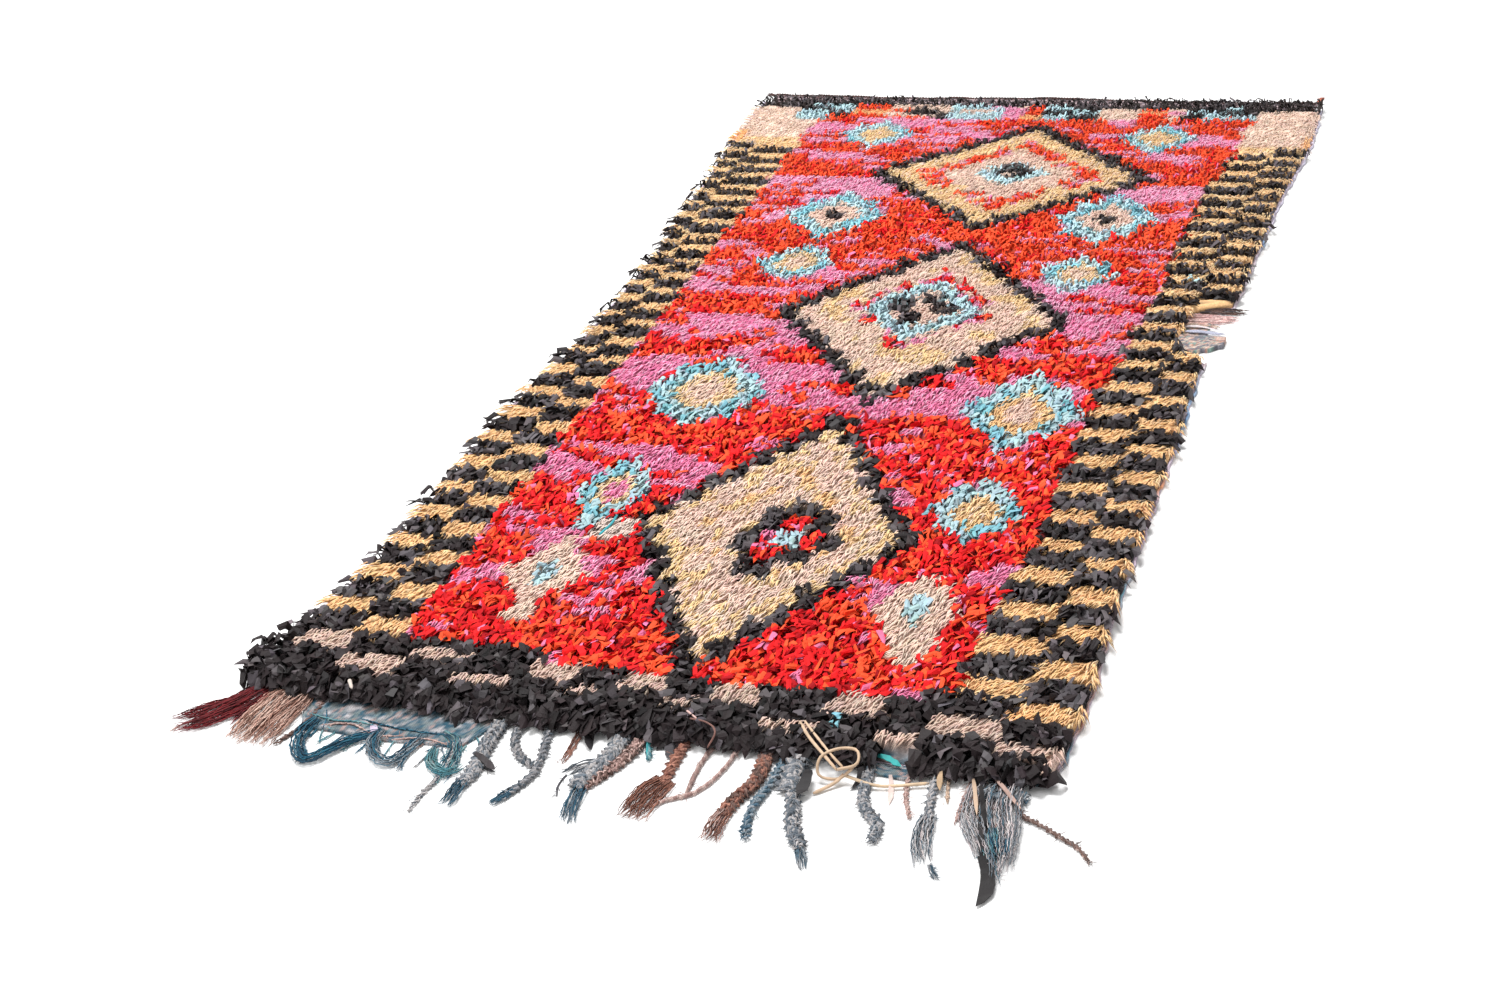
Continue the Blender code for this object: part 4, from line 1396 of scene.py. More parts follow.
# Colours of the loose yarns, as on a screen
MARL = ((150, 149, 151), (106, 111, 118), (82, 91, 100), (170, 165, 164))
ASH = ((130, 129, 132), (92, 96, 102), (68, 76, 84), (148, 144, 144))
PALE = ((196, 190, 190), (150, 150, 154), (112, 120, 128), (214, 204, 202), (178, 164, 166))
BLUE_TIP = ((36, 80, 102), (92, 106, 118), (54, 92, 112))
TEAL_MIX = ((26, 82, 106), (44, 106, 128), (20, 62, 84))
SEA_MIX = ((84, 138, 146), (62, 116, 128), (124, 158, 160))
MAROON = ((100, 18, 26), (122, 28, 34), (78, 14, 20))
ROSE = ((190, 156, 142), (172, 132, 118), (144, 106, 92), (200, 172, 158))
BROWN = ((94, 70, 62), (76, 55, 49), (120, 93, 85))
BARK = BROWN + ((168, 146, 138), (124, 112, 110))
RUST = ((132, 86, 70), (150, 104, 88), (98, 60, 50))
RUST_BRIGHT = ((176, 92, 70), (150, 76, 60), (196, 112, 86))
DUSTY = ((180, 150, 142), (164, 131, 125), (194, 168, 160))
FLESH = ((214, 176, 172), (194, 150, 148), (224, 196, 190))
SAND = ((200, 175, 154), (185, 158, 139))
SOOT = ((44, 41, 44), (70, 68, 74))
SLATE = ((88, 112, 126), (130, 140, 148), (56, 84, 102), (162, 164, 168))

# The bundles of the front end, roughly from left to right, with their tips and strays after them
BUNDLES = (
    ("maroon_hank", "hank", (-584, -1098, -604, -1143, -634, -1176, -682, -1219),
     44, 13, 0, 66, MAROON, 12, 1.0, 1.2),
    ("maroon_lock", "hank", (-586, -1130, -588, -1165, -594, -1200), 14, 8, 0, 12, MAROON, 4),
    ("maroon_wisp", "strand", (-640, -1185, -668, -1205, -684, -1232), 3, 4, 0, 2, DUSTY, 2),
    ("rose_hank", "hank", (-532, -1098, -538, -1145, -544, -1188, -548, -1238),
     74, 14, 0, 106, ROSE, 14, 1.0, 1.05),
    ("brown_stray", "twist", (-478, -1100, -479, -1150, -486, -1188, -504, -1228), 10, 7, 6, 2, BROWN, 3),
    ("blue_heart", "hank",
     (-468, -1160, -470, -1192, -462, -1225, -434, -1250, -408, -1220, -388, -1195, -352, -1170),
     19, 14, 0, 22, TEAL_MIX, 0),
    ("blue_heart_end", "hank", (-450, -1228, -444, -1248, -438, -1264), 12, 8, 0, 9, TEAL_MIX, 3),
    ("string_one", "strand", (-480, -1156, -436, -1176, -384, -1168, -330, -1178), 5, 6, 0, 3, SEA_MIX, 2),
    ("string_two", "strand", (-404, -1160, -396, -1184, -402, -1214), 5, 6, 0, 3, SLATE, 2),
    ("string_three", "strand", (-366, -1160, -364, -1190, -372, -1226), 5, 6, 0, 3, TEAL_MIX, 2),
    ("string_four", "strand", (-350, -1172, -304, -1180, -262, -1172, -222, -1166), 5, 6, 0, 3, SEA_MIX, 2),
    ("string_five", "strand", (-272, -1160, -262, -1190, -268, -1236), 5, 6, 0, 4, MARL, 3),
    ("string_six", "strand", (-226, -1140, -206, -1156, -190, -1180), 5, 6, 0, 3, SEA_MIX, 2),
    ("cross_one", "strand", (-486, -1150, -440, -1160, -396, -1156, -350, -1166), 4, 13, 0, 2, SEA_MIX, 2),
    ("cross_two", "strand", (-452, -1172, -404, -1164, -360, -1180, -310, -1172), 4, 13, 0, 2, DUSTY, 2),
    ("cross_three", "strand", (-400, -1148, -350, -1158, -300, -1160, -240, -1158), 4, 13, 0, 2, TEAL_MIX, 2),
    ("cross_four", "strand", (-330, -1184, -280, -1174, -232, -1180), 4, 13, 0, 2, DUSTY, 2),
    ("blue_stray", "strand", (-464, -1138, -452, -1160, -446, -1184), 6, 12, 0, 3, TEAL_MIX, 2),
    ("blue_coil", "hank", (-356, -1166, -354, -1196, -336, -1222, -310, -1234, -296, -1208, -286, -1164),
     17, 13, 0, 20, TEAL_MIX + SLATE, 0),
    ("brown_chip", "strand", (-344, -1180, -352, -1200, -356, -1222), 6, 5, 0, 2, BROWN, 1),
    ("blue_fray", "hank", (-300, -1170, -298, -1200, -290, -1250), 14, 9, 0, 16, TEAL_MIX + SLATE, 3),
    ("grey_tail", "twist", (-240, -1160, -224, -1205, -222, -1244, -229, -1284, -230, -1326),
     9, 7, 9, 2, MARL, 2, 1.0, 1.3),
    ("teal_strip", "hank", (-262, -1152, -238, -1166, -222, -1204, -214, -1268),
     18, 10, 0, 18, SEA_MIX + TEAL_MIX, 6, 1.0, 1.5),
    ("teal_lobe", "hank", (-258, -1190, -246, -1222, -216, -1236, -196, -1212), 16, 12, 0, 18, SEA_MIX, 2),
    ("grey_braid", "braid", (-184, -1102, -184, -1160, -177, -1226, -184, -1262), 24, 15, 5, 4, MARL, 0),
    ("grey_braid_tip", "hank", (-181, -1240, -184, -1270, -183, -1306), 22, 12, 0, 22, BLUE_TIP, 6),
    ("black_slip", "strand", (-186, -1196, -170, -1212, -146, -1220), 8, 6, 0, 3, SOOT, 1, 2.0),
    ("fork_left", "twist", (-158, -1104, -150, -1148, -130, -1178, -94, -1202), 17, 11, 6, 4, ASH, 2),
    ("fork_right", "twist", (-111, -1104, -99, -1158, -89, -1206, -98, -1242, -118, -1280),
     17, 12, 10, 4, ASH, 8),
    ("fork_tip", "hank", (-100, -1244, -110, -1264, -124, -1288), 13, 11, 0, 12, BLUE_TIP, 4),
    ("stub_fray", "hank", (-66, -1100, -62, -1145, -63, -1188), 10, 6, 0, 8, RUST, 4),
    ("twin_grey", "braid", (6, -1102, 4, -1155, -12, -1205, -20, -1235), 28, 15, 4, 5, MARL, 0),
    ("twin_brown", "braid", (34, -1102, 28, -1150, 8, -1195, -10, -1232), 22, 13, 4, 4, BROWN + DUSTY, 2),
    ("twin_lobe", "hank", (0, -1170, -28, -1188, -44, -1212), 22, 10, 0, 18, MARL, 5),
    ("twin_tip", "hank", (-14, -1215, -8, -1262, 3, -1306), 22, 11, 0, 22, BLUE_TIP, 6),
    ("thin_black", "strand", (-44, -1205, -46, -1228, -36, -1254), 4, 4, 0, 2, SOOT, 1),
    ("teal_tag", "strand", (38, -1100, 48, -1128, 60, -1157), 11, 10, 0, 3, SEA_MIX, 0, 3.2),
    ("rust_club", "twist", (98, -1102, 97, -1158, 100, -1204), 20, 14, 6, 4, RUST, 0),
    ("rust_brush", "hank", (100, -1190, 88, -1226, 79, -1280), 42, 13, 0, 46, RUST, 10, 0.9),
    ("rose_fork_left", "strand", (139, -1102, 134, -1152, 138, -1217), 12, 10, 0, 3, DUSTY, 1, 2.6),
    ("rose_fork_right", "strand", (174, -1102, 170, -1155, 150, -1206, 116, -1230, 96, -1252),
     12, 10, 0, 3, DUSTY, 1, 2.4),
    ("rust_braid", "braid", (218, -1102, 224, -1168, 209, -1214, 203, -1250), 22, 15, 5, 4, RUST + BROWN, 0),
    ("rust_braid_tip", "hank", (205, -1235, 202, -1265, 203, -1302), 26, 12, 0, 26, RUST + DUSTY, 5),
    ("blue_grey", "twist", (247, -1102, 246, -1165, 238, -1225, 251, -1290), 17, 12, 9, 4, SLATE, 6),
    ("knotted_root", "braid", (272, -1102, 270, -1140, 276, -1186), 36, 18, 3, 5, MARL, 0, 1.2),
    ("knotted_grey", "braid", (276, -1176, 290, -1206, 306, -1252, 330, -1288), 22, 14, 5, 4, MARL, 0),
    ("knotted_wisp", "hank", (322, -1276, 334, -1300, 346, -1326), 14, 8, 0, 12, SLATE, 3),
    ("grey_kink", "braid", (366, -1102, 376, -1172, 394, -1204, 412, -1222, 417, -1262),
     19, 13, 7, 4, MARL, 4),
    ("rose_strand", "twist", (420, -1102, 430, -1155, 450, -1204), 9, 7, 6, 2, DUSTY, 2),
    ("grey_long", "twist", (457, -1098, 466, -1160, 474, -1205, 477, -1236), 15, 12, 8, 4, MARL, 0),
    ("grey_long_lobe", "hank", (472, -1188, 476, -1236, 486, -1266, 497, -1292),
     24, 12, 0, 24, PALE + SLATE, 3),
    ("grey_long_wisp", "hank", (500, -1280, 508, -1294, 521, -1310), 8, 6, 0, 6, SLATE, 2),
    ("sand_strand", "twist", (472, -1098, 480, -1130, 489, -1165), 8, 6, 4, 2, SAND, 1),
    ("side_strand", "twist", (507, -1100, 507, -1155, 510, -1204), 8, 6, 6, 2, DUSTY, 2),
    ("corner_left", "hank", (516, -1106, 519, -1171, 532, -1204, 550, -1232, 570, -1266),
     22, 13, 0, 22, PALE, 4),
    ("corner_left_end", "hank", (552, -1230, 572, -1262, 590, -1294), 20, 10, 0, 16, PALE + SEA_MIX, 5),
    ("corner_blue", "hank", (562, -1206, 572, -1234, 584, -1264), 15, 27, 0, 14, TEAL_MIX + SEA_MIX, 3),
    ("corner_blue_lock", "hank", (586, -1222, 592, -1242, 597, -1260), 10, 28, 0, 8, TEAL_MIX, 2),
    ("corner_pad", "braid", (526, -1134, 556, -1140, 594, -1134), 22, 18, 3, 4, SLATE + MARL, 2),
    ("corner_right", "hank", (566, -1112, 573, -1160, 586, -1200, 594, -1240, 599, -1286),
     27, 19, 0, 28, PALE, 5, 1.0, 0.75),
    ("corner_middle", "hank", (546, -1112, 550, -1165, 562, -1202, 578, -1250, 595, -1304),
     27, 20, 0, 28, PALE + SLATE[:1], 4, 1.0, 0.7),
    ("corner_pink", "twist", (524, -1104, 520, -1140, 512, -1180), 10, 8, 4, 2, DUSTY, 2),
    ("corner_rose", "strand", (545, -1100, 556, -1165, 576, -1235), 6, 17, 0, 2, DUSTY, 1),
    ("brown_braid", "twist", (575, -1128, 588, -1165, 618, -1181, 649, -1199, 675, -1214, 700, -1244),
     10, 10, 12, 3, BARK, 4),
    ("corner_sand", "strand", (512, -1112, 524, -1150, 538, -1190), 5, 6, 0, 2, SAND, 1),
)


def slip_shape(route, width, lift, colour, draw, stations=7, thick=0.0015):
    """A torn rag slip or ribbon that lies along a route with its edges curling."""
    places, _ = curve_through(route, stations)
    side = flat_side(np.c_[places, np.zeros(stations)])
    spine = np.c_[places, lift + 0.002 * np.sin(np.linspace(0, 5, stations))][None]
    turn = np.cumsum(draw.normal(0, 0.16, stations))
    facing = side * np.cos(turn)[:, None] + np.array([0.0, 0.0, 1.0]) * np.sin(turn)[:, None]
    taper = np.interp(np.linspace(0, 1, stations), (0.0, 0.3, 0.75, 1.0), (0.6, 0.9, 1.0, 0.15))
    wide = width / 2 * draw.uniform(0.85, 1.15, stations) * taper
    tint = np.clip(np.array(paint(*colour)) * (1 + 0.1 * draw.standard_normal((stations, 1))), 0, 1)
    shape = tubes(spine, facing[None], wide[None], np.full((1, stations), thick / 2), tint[None], sides=4)
    np.maximum(shape.points[:, 2], 0.0004, out=shape.points[:, 2])
    return shape


def tie_tassels(sizes):
    """All the warp tassels of the front end, in three pieces from left to right."""
    draw = np.random.default_rng(SEED + 40)
    parts = {"tassels_left": [], "tassels_middle": [], "tassels_right": []}
    for row in BUNDLES:
        bundle = in_mm(*row)
        x = bundle.route[0][0]
        part = "tassels_left" if x < -0.20 else "tassels_middle" if x < 0.19 else "tassels_right"
        parts[part] += bundle_shape(bundle, draw, sizes.yarn)
    # Short warp ends along the bare weave
    for x in np.linspace(-0.476, -0.216, 17):
        reach = draw.uniform(0.014, 0.040)
        route = ((x, -1.172), (x + draw.normal(0, 0.004), -1.184), (x + draw.normal(0, 0.012), -1.184 - reach))
        palette = (SEA_MIX, TEAL_MIX, DUSTY, SLATE)[draw.integers(4)]
        end = Bundle("strand", route, 0.004, 0.006, 0, 2, palette, 0.002)
        parts["tassels_left"] += bundle_shape(end, draw, sizes.yarn)
    for name, shapes in parts.items():
        make_piece(name, joined(shapes), marled_material(), ["front_fringe"])


def weave_band(name, y_inner, depth_at, low, high, rows, columns, palette, nodes, draw, top):
    """A narrow band of speckled plain weave between two places along an end."""
    x = np.linspace(low, high, columns)[None].repeat(rows, 0)
    _, v = shares(rows, columns)
    y = y_inner + v * depth_at(x)
    if depth_at(np.array([(low + high) / 2]))[0] < 0:
        x, y = x[::-1], y[::-1]
    z = top + draw.normal(0, 0.00035, x.shape)
    run = np.floor(blotches(x, y, 0.012, 0.0035, SEED + 12) * len(palette) * 0.999).astype(int)
    tints = paints(palette)[run] * (1 + 0.12 * draw.standard_normal(x.shape))[..., None]
    shape = grid_sheet(np.stack([x, y, z], axis=-1), 0.0005, np.clip(tints, 0.01, 1))
    return make_piece(name, shape, weave_material("end_weave", 1.2, 640.0), nodes)


# Colours of the front end's speckled weave
FRONT_PALETTE = (
    (104, 112, 114),
    (70, 92, 104),
    (32, 74, 92),
    (146, 124, 120),
    (104, 118, 120),
    (112, 118, 124),
    (50, 78, 92),
    (160, 156, 158),
)


def front_depth(x):
    """How far the front end's weave reaches. It lies bare along two stretches and hides elsewhere."""
    bare = ramp(x, -0.525, 0.05) * ramp(-x, 0.180, 0.05)
    patch = ramp(x, 0.356, 0.014) * ramp(-x, -0.434, 0.014)
    return -(0.005 + 0.078 * bare + 0.020 * patch + 0.003 * np.sin(31.0 * x))


def weave_front_end():
    """The front end's weave, which shows where no rags lie over it."""
    draw = np.random.default_rng(SEED + 50)
    low = EDGES[0].left + 0.014
    high = EDGES[0].right - 0.014
    weave_band(
        "front_weave", FRONT_Y - 0.0004, front_depth, low, high, 12, 240, FRONT_PALETTE,
        ["front_fringe"], draw, 0.0040,
    )


# Colours of the side cords along the rug: y, then the screen colour
LEFT_CORD = (
    (-1.10, (150, 120, 118)),
    (-0.90, (196, 178, 190)),
    (0.60, (190, 176, 196)),
    (1.09, (206, 196, 216)),
)
RIGHT_CORD = (
    (-1.10, (172, 132, 124)),
    (-1.03, (96, 140, 160)),
    (-0.98, (176, 140, 134)),
    (-0.72, (196, 176, 186)),
    (-0.66, (110, 160, 176)),
    (-0.58, (198, 178, 196)),
    (-0.41, (200, 180, 196)),
    (-0.37, (216, 150, 104)),
    (-0.32, (206, 186, 198)),
    (-0.18, (120, 156, 196)),
    (-0.05, (150, 170, 196)),
    (0.02, (196, 180, 186)),
    (0.44, (190, 178, 190)),
    (0.48, (130, 164, 200)),
    (0.54, (196, 188, 206)),
    (1.09, (200, 196, 216)),
)


def side_cords(sizes):
    """The thick overcast cord that stiffens each long edge of the ground cloth."""
    draw = np.random.default_rng(SEED + 60)
    radius = sizes.selvedge / 2
    shapes = []
    runs = (
        (LEFT_CORD, "left", -1.0, FRONT_Y + 0.006, BACK_Y - 0.004),
        (RIGHT_CORD, "right", 1.0, FRONT_Y + 0.006, NOTCH_FROM - NOTCH_FLARE),
        (RIGHT_CORD, "right", 1.0, NOTCH_TO + NOTCH_TOP_FLARE, BACK_Y - 0.004),
    )
    for cord, column, out, start, end in runs:
        stations = int((end - start) / 0.0085)
        y = np.linspace(start, end, stations)
        x = edge_at(y, column) + out * (0.0002 + 0.0020 * np.sin(y * 70) + 0.0012 * np.sin(y * 173 + 1))
        spine = np.stack([x, y, radius + 0.0006 + 0.0004 * np.sin(y * 210)], axis=-1)
        places = [row[0] for row in cord]
        colours = paints(row[1] for row in cord)
        tints = np.stack([np.interp(y, places, colours[:, k]) for k in range(3)], axis=-1)
        tints = tints * (1 + 0.14 * draw.standard_normal((stations, 1)))
        wide = radius * draw.uniform(0.85, 1.25, stations)
        shapes.append(one_cord(spine, flat_side(spine), wide, wide, tints, 5))
    return make_piece("side_cords", joined(shapes), yarn_material("cord_yarn"), ["rug_body"])


# Colours of the back end's cord and weave, how far the cord lies inside the edge, and the length of its turns
CORD_DARK = ((74, 50, 46), (56, 38, 36), (96, 70, 66))
BACK_PALETTE = ((184, 164, 166), (112, 98, 102), (70, 50, 50), (146, 122, 124), (132, 122, 132), (84, 62, 62))
BACK_CORD_IN = 0.0028
CORD_PITCH = 0.0125


def back_edge(x):
    """The y of the back end's outer edge."""
    return BACK_Y + 0.036 + 0.004 * np.sin(9.0 * x + 1.2)


def make_back_end(sizes):
    """The plain weave behind the pile, the twisted cord along its edge and the cord's two tails."""
    draw = np.random.default_rng(SEED + 70)
    low = EDGES[-1].left + 0.014
    high = EDGES[-1].right - 0.014
    nodes = ["back_end"]

    def depth(x):
        """How far the weave reaches behind the pile."""
        return back_edge(x) - BACK_Y - 0.0045

    weave_band(
        "back_weave", BACK_Y + 0.0004, depth, low, high, 12, 300, BACK_PALETTE, nodes, draw,
        0.0030,
    )
    stations = 620
    x = np.linspace(low - 0.002, high + 0.002, stations)
    radius = sizes.cord * 0.30
    shapes = []
    lift = 0.0016 * smooth((blotches(x, x * 0, 0.05, 1.0, SEED + 13) - 0.6) / 0.3)
    for ply in range(2):
        turn = 2 * math.pi * (x / CORD_PITCH) + ply * math.pi
        y = back_edge(x) - BACK_CORD_IN + radius * 0.85 * np.cos(turn) + 0.0008 * np.sin(x * 61)
        z = sizes.cord * 0.5 + radius * 0.75 * np.sin(turn) + lift
        spine = np.stack([x, y, z], axis=-1)
        base = paints(CORD_DARK)[draw.integers(len(CORD_DARK), size=stations)]
        tints = base * (1 + 0.2 * draw.standard_normal((stations, 1)))
        wide = np.full(stations, radius)
        shapes.append(one_cord(spine, flat_side(spine), wide, wide, np.clip(tints, 0.003, 1), 4))
    route = np.stack([x, back_edge(x) - BACK_CORD_IN, np.full(stations, sizes.cord * 0.6)], axis=-1)
    narrow = np.full(stations, sizes.cord)
    dark = paints(CORD_DARK + ((200, 180, 180),))
    shapes.append(fuzz_shape(route, flat_side(route), narrow, dark, draw, 260))
    y_left = float(back_edge(low)) - 0.006
    y_right = float(back_edge(high)) - 0.004
    left = ((-0.580, y_left), (-0.596, y_left + 0.006), (-0.615, y_left + 0.013))
    right = ((0.597, y_right), (0.602, y_right + 0.016), (0.609, y_right + 0.037))
    tails = (
        Bundle("hank", left, 0.008, 0.005, 0, 9, CORD_DARK, 0.003),
        Bundle("twist", right, 0.009, 0.006, 3, 3, RUST_BRIGHT, 0.002),
    )
    for tail in tails:
        shapes += bundle_shape(tail, draw, sizes.yarn)
    return make_piece("back_cord", joined(shapes), yarn_material("cord_yarn"), nodes)


# Loose wefts in the notch, from the back end to the front
NOTCH_BUNDLES = (
    ("dark_frayed", "hank", (545, 206, 590, 211, 632, 212), 20, 10, 0, 20, BROWN + SOOT, 7),
    ("rose_long", "hank", (512, 188, 562, 187, 620, 186), 16, 8, 0, 20, FLESH, 6),
    ("rose_mid", "hank", (514, 174, 565, 175, 612, 175), 15, 8, 0, 20, FLESH, 5),
    ("rose_low", "hank", (516, 158, 556, 160, 594, 158), 10, 6, 0, 10, FLESH + SAND, 3),
    ("mixed_stub", "hank", (548, 112, 574, 110, 597, 112), 10, 6, 0, 10, DUSTY + SEA_MIX, 2),
)

# Two ribbons in the notch: route, colour and width
NOTCH_RIBBONS = (
    (((0.526, 0.128), (0.567, 0.129), (0.606, 0.131)), (178, 180, 198), 0.010),
    (((0.530, 0.146), (0.560, 0.147), (0.590, 0.145)), (224, 212, 214), 0.009),
)

# Colours of the worn weave in the notch
NOTCH_PALETTE = (
    (190, 160, 148),
    (120, 144, 138),
    (170, 124, 108),
    (124, 120, 126),
    (198, 176, 160),
    (104, 104, 112),
)


def make_torn_wefts(sizes):
    """The worn notch's bare weave, with loose wefts and two ribbons standing out of it."""
    draw = np.random.default_rng(SEED + 80)
    nodes = ["torn_wefts"]
    shapes = []
    for row in NOTCH_BUNDLES:
        shapes += bundle_shape(in_mm(*row), draw, sizes.yarn * 0.8)
    for route, colour, width in NOTCH_RIBBONS:
        shapes.append(slip_shape(route, width, 0.0060, colour, draw))
    make_piece("torn_wefts_yarn", joined(shapes), marled_material(), nodes)

    def patch_depth(x):
        """How far the worn patch reaches towards the front end."""
        return -0.058 * (1 - 0.55 * ((x - 0.528) / 0.080) ** 2) - 0.002 * np.sin(x * 260)

    def strip_depth(x):
        """How far the worn strip reaches towards the back end."""
        return 0.100 - 0.6 * (x - 0.530)

    bands = (
        ("worn_patch", 0.112, patch_depth, 0.528, 0.608, 20, 26, 0.0090),
        ("worn_strip", 0.108, strip_depth, 0.526, 0.572, 16, 12, 0.0036),
    )
    for name, y, depth, low, high, rows, columns, top in bands:
        weave_band(name, y, depth, low, high, rows, columns, NOTCH_PALETTE, nodes, draw, top)


SAND_YARN = (198, 170, 142)

# Loose yarns on the pile and the front end: the places that they appear to pass with their heights, the yarn's
# width and its colour. The first five make up one long yarn, doubled at its start, with a loop and two ends.
LOOSE_YARNS = (
    (
        ((0.236, -1.030, 0.027), (0.262, -1.062, 0.032), (0.300, -1.100, 0.029), (0.322, -1.122, 0.020)),
        0.0048, SAND_YARN,
    ),
    (
        ((0.243, -1.028, 0.027), (0.271, -1.058, 0.033), (0.306, -1.094, 0.031), (0.330, -1.116, 0.022)),
        0.0040, SAND_YARN,
    ),
    (
        (
            (0.322, -1.120, 0.021), (0.346, -1.100, 0.031), (0.330, -1.072, 0.035), (0.302, -1.082, 0.034),
            (0.288, -1.112, 0.026), (0.304, -1.138, 0.010), (0.334, -1.136, 0.010), (0.342, -1.112, 0.024),
        ),
        0.0044, SAND_YARN,
    ),
    (((0.334, -1.128, 0.014), (0.326, -1.150, 0.006), (0.306, -1.174, 0.003)), 0.0060, SAND_YARN),
    (((0.336, -1.130, 0.012), (0.388, -1.142, 0.006), (0.452, -1.124, 0.006)), 0.0052, (208, 182, 152)),
    (
        ((0.079, -1.052, 0.029), (0.106, -1.056, 0.031), (0.126, -1.074, 0.030), (0.128, -1.112, 0.014)),
        0.0030, (120, 84, 76),
    ),
    (((0.068, -1.036, 0.029), (0.088, -1.050, 0.031)), 0.0034, (214, 176, 168)),
    (((-0.249, -0.545, 0.022), (-0.243, -0.590, 0.023), (-0.250, -0.628, 0.021)), 0.0050, (50, 150, 160)),
    (((-0.470, -1.060, 0.034), (-0.456, -1.078, 0.034)), 0.0060, (204, 190, 180)),
)

# The most that half of a loose yarn's thickness is
THICKEST_LOOSE = 0.0022


def lay_loose_yarn():
    """The long loose beige yarn that lies over the front end in a loop, and short strays on the pile."""
    draw = np.random.default_rng(SEED + 90)
    shapes = []
    for places, width, colour in LOOSE_YARNS:
        route, reach = curve_through([(*seen_from(x, y, z), z) for x, y, z in places], 8)
        stations = max(7, int(reach / 0.005))
        route, _ = curve_through(route, stations)
        half = width / 2 * draw.uniform(0.85, 1.1, stations)
        half[-1] *= 0.5
        tint = np.array(paint(*colour)) * (1 + 0.07 * draw.standard_normal((stations, 1)))
        thick = np.minimum(half, THICKEST_LOOSE)
        shapes.append(one_cord(route, flat_side(route), half, thick, tint, 6))
    return make_piece("loose_yarn", joined(shapes), yarn_material("cord_yarn"), ["front_fringe"])


# Torn rag slips among the tassels: route, width, height and colour
SLIPS = (
    (((0.536, -1.150), (0.550, -1.212), (0.564, -1.254), (0.576, -1.290)), 0.018, 0.0040, (40, 37, 38)),
    (((0.562, -1.256), (0.578, -1.287), (0.585, -1.318), (0.579, -1.346)), 0.025, 0.0060, (34, 31, 32)),
    (((0.528, -1.136), (0.542, -1.176), (0.554, -1.208)), 0.010, 0.0170, (40, 37, 38)),
    (((-0.048, -1.112), (-0.040, -1.136), (-0.032, -1.150)), 0.024, 0.0050, (44, 41, 43)),
    (((0.078, -1.112), (0.080, -1.128), (0.088, -1.146)), 0.020, 0.0050, (70, 66, 70)),
    (((0.292, -1.146), (0.296, -1.172), (0.292, -1.196)), 0.022, 0.0150, (40, 37, 39)),
    (((0.352, -1.110), (0.362, -1.140), (0.352, -1.160)), 0.018, 0.0050, (44, 41, 43)),
    (((-0.188, -1.196), (-0.168, -1.208), (-0.144, -1.222)), 0.014, 0.0110, (58, 52, 54)),
    (((-0.374, -1.158), (-0.362, -1.176), (-0.352, -1.190)), 0.018, 0.0040, (206, 190, 210)),
    (((0.512, -1.118), (0.524, -1.150), (0.536, -1.186)), 0.008, 0.0120, (198, 170, 146)),
    (((0.544, -1.118), (0.566, -1.142), (0.590, -1.166)), 0.009, 0.0150, (196, 164, 152)),
    (((0.398, -1.122), (0.408, -1.150), (0.414, -1.180)), 0.010, 0.0040, (222, 200, 192)),
    (((0.464, -1.104), (0.470, -1.130), (0.476, -1.150)), 0.012, 0.0140, (184, 156, 126)),
    (((0.372, -1.094), (0.392, -1.100), (0.410, -1.108)), 0.012, 0.0110, (48, 160, 158)),
    (((0.042, -1.106), (0.050, -1.132), (0.060, -1.156)), 0.011, 0.0060, (70, 168, 172)),
)


def lay_slips():
    """Torn rag slips that stick out among the tassels."""
    draw = np.random.default_rng(SEED + 100)
    slips = [slip_shape(*slip, draw, stations=8, thick=0.0022) for slip in SLIPS]
    return make_piece("rag_slips", joined(slips), black_rag(), ["front_fringe"], flat=True)


class RugGroundOperator(bpy.types.Operator):
    """Weave the ground cloth and pack the lower half of the pile on it"""

    bl_idname = "rug.ground"
    bl_label = "Ground and packed pile"

    def execute(self, context):
        sizes = context.scene.rug_sizes
        colours = context.scene.rug_colours
        ground_cloth(sizes, colours)
        under_pile(sizes, colours)
        side_cords(sizes)
        return {"FINISHED"}


class RugPileOperator(bpy.types.Operator):
    """Tie the rag and yarn tufts by the chart"""

    bl_idname = "rug.pile"
    bl_label = "Pile"

    def execute(self, context):
        tie_pile(context.scene.rug_sizes, context.scene.rug_colours)
        return {"FINISHED"}


class RugFrontEndOperator(bpy.types.Operator):
    """Weave the front end and tie its tassels"""

    bl_idname = "rug.front_end"
    bl_label = "Front end and tassels"

    def execute(self, context):
        sizes = context.scene.rug_sizes
        weave_front_end()
        tie_tassels(sizes)
        lay_slips()
        lay_loose_yarn()
        return {"FINISHED"}


class RugBackEndOperator(bpy.types.Operator):
    """Weave the back end and twist its cord"""

    bl_idname = "rug.back_end"
    bl_label = "Back end and cord"

    def execute(self, context):
        make_back_end(context.scene.rug_sizes)
        return {"FINISHED"}


class RugNotchOperator(bpy.types.Operator):
    """Fray the worn notch in the right-hand edge"""

    bl_idname = "rug.notch"
    bl_label = "Worn notch"

    def execute(self, context):
        make_torn_wefts(context.scene.rug_sizes)
        return {"FINISHED"}


class RugSheetOperator(bpy.types.Operator):
    """Takes no step of its own"""

    bl_idname = "rug.sheet"
    bl_label = "Sheet facts"

    def execute(self, context):
        return {"FINISHED"}


class RugStageOperator(bpy.types.Operator):
    """Lay the pale floor, hang the soft studio lights and set up the camera"""

    bl_idname = "rug.stage"
    bl_label = "Floor, lights and camera"

    def execute(self, context):
        lay_floor()
        hang_lights()
        set_camera(context.scene)
        return {"FINISHED"}


# The floor's half size, how far it lies under the rug, and its tone
FLOOR_HALF = 14.0
FLOOR_DROP = 0.0002
FLOOR_TONE = 0.86


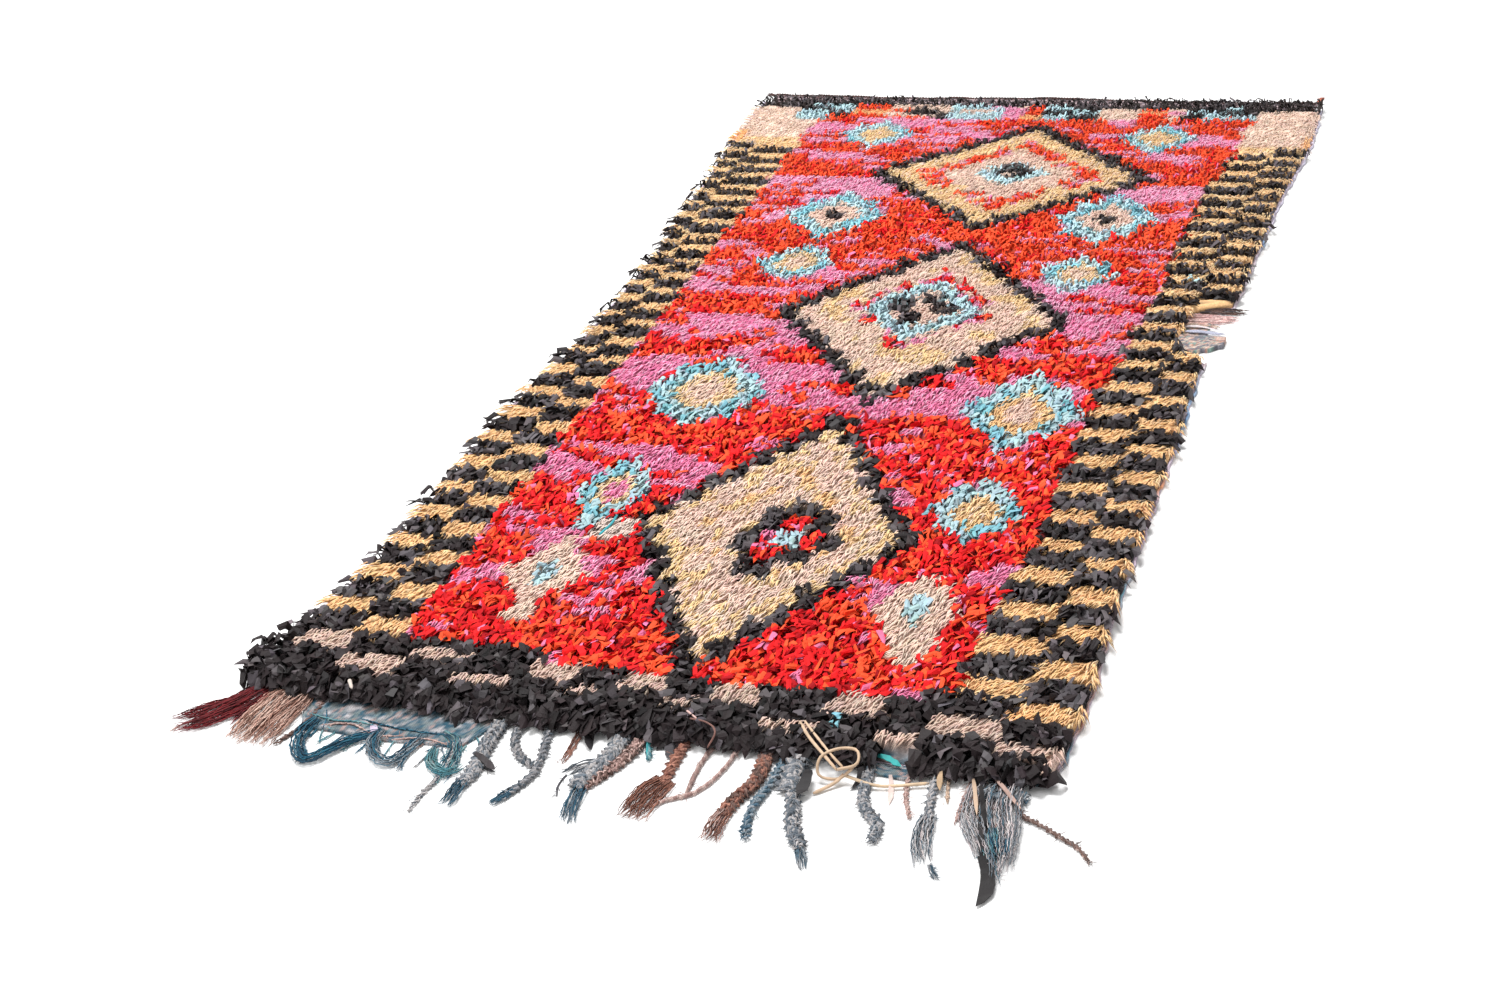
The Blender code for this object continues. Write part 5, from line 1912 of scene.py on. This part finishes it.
def lay_floor():
    """The plain pale floor, just under the rug."""
    mesh = bpy.data.meshes.new("floor")
    corners = [(x * FLOOR_HALF, y * FLOOR_HALF, 0) for x, y in ((-1, -1), (1, -1), (1, 1), (-1, 1))]
    mesh.from_pydata(corners, [], [(0, 1, 2, 3)])
    floor = bpy.data.objects.new("floor", mesh)
    floor.location.z = -FLOOR_DROP
    material = bpy.data.materials.new("pale_floor")
    material.use_nodes = True
    shader = material.node_tree.nodes["Principled BSDF"]
    shader.inputs["Base Color"].default_value = (FLOOR_TONE, FLOOR_TONE, FLOOR_TONE, 1)
    shader.inputs["Roughness"].default_value = 0.9
    shader.inputs["Specular IOR Level"].default_value = 0.1
    mesh.materials.append(material)
    bpy.context.scene.collection.objects.link(floor)


Lamp = namedtuple("Lamp", "name place aim size power")
LAMPS = (
    Lamp("top_softbox", (-0.6, 0.3, 4.6), (0.0, 0.0, 0.0), 2.4, 270.0),
    Lamp("front_softbox", (-2.4, -2.6, 2.8), (0.0, 0.0, 0.0), 2.0, 60.0),
)
WORLD_LIGHT = 0.66


def hang_lights():
    """Even light from all round, and soft studio lamps above and in front."""
    world = bpy.data.worlds.new("studio")
    world.use_nodes = True
    background = world.node_tree.nodes["Background"]
    background.inputs["Color"].default_value = (1, 1, 1, 1)
    background.inputs["Strength"].default_value = WORLD_LIGHT
    bpy.context.scene.world = world
    for lamp in LAMPS:
        light = bpy.data.lights.new(lamp.name, "AREA")
        light.shape = "DISK"
        light.size = lamp.size
        light.energy = lamp.power
        obj = bpy.data.objects.new(lamp.name, light)
        obj.location = lamp.place
        aim = Vector(lamp.aim) - Vector(lamp.place)
        obj.rotation_euler = aim.to_track_quat("-Z", "Y").to_euler()
        bpy.context.scene.collection.objects.link(obj)


def set_camera(scene):
    """The camera at the photograph's place and angle, with no shift and no depth of field."""
    data = bpy.data.cameras.new("camera")
    data.lens = CAMERA_LENS
    data.sensor_width = CAMERA_SENSOR
    data.clip_end = CAMERA_REACH
    camera = bpy.data.objects.new("camera", data)
    axes = Matrix((CAMERA_RIGHT, CAMERA_UP, CAMERA_BACK)).transposed().to_4x4()
    camera.matrix_world = Matrix.Translation(CAMERA_PLACE) @ axes
    scene.collection.objects.link(camera)
    scene.camera = camera
    scene.view_settings.view_transform = "Standard"


class RugPanel(bpy.types.Panel):
    """The rug's operators and sizes"""

    bl_idname = "VIEW3D_PT_rug"
    bl_label = "Boucherouite rug"
    bl_space_type = "VIEW_3D"
    bl_region_type = "UI"
    bl_category = "Rug"

    def draw(self, context):
        for operator in OPERATORS:
            self.layout.operator(operator.bl_idname)
        for group in (context.scene.rug_sizes, context.scene.rug_colours):
            box = self.layout.box()
            for name in group.__annotations__:
                box.prop(group, name)


OPERATORS = (
    RugGroundOperator,
    RugPileOperator,
    RugFrontEndOperator,
    RugBackEndOperator,
    RugNotchOperator,
    RugSheetOperator,
    RugStageOperator,
)
CLASSES = (RugSizes, RugColours, *OPERATORS, RugPanel)


def register():
    """Adds the classes, and the rug's sizes and colours to the scene."""
    for each in CLASSES:
        bpy.utils.register_class(each)
    bpy.types.Scene.rug_sizes = bpy.props.PointerProperty(type=RugSizes)
    bpy.types.Scene.rug_colours = bpy.props.PointerProperty(type=RugColours)


def unregister():
    """Takes away what register added."""
    del bpy.types.Scene.rug_colours
    del bpy.types.Scene.rug_sizes
    for each in reversed(CLASSES):
        bpy.utils.unregister_class(each)


def main():
    """Makes the rug and its stage."""
    register()
    bpy.ops.rug.ground()
    bpy.ops.rug.pile()
    bpy.ops.rug.front_end()
    bpy.ops.rug.back_end()
    bpy.ops.rug.notch()
    bpy.ops.rug.sheet()
    bpy.ops.rug.stage()


if __name__ == "__main__":
    main()
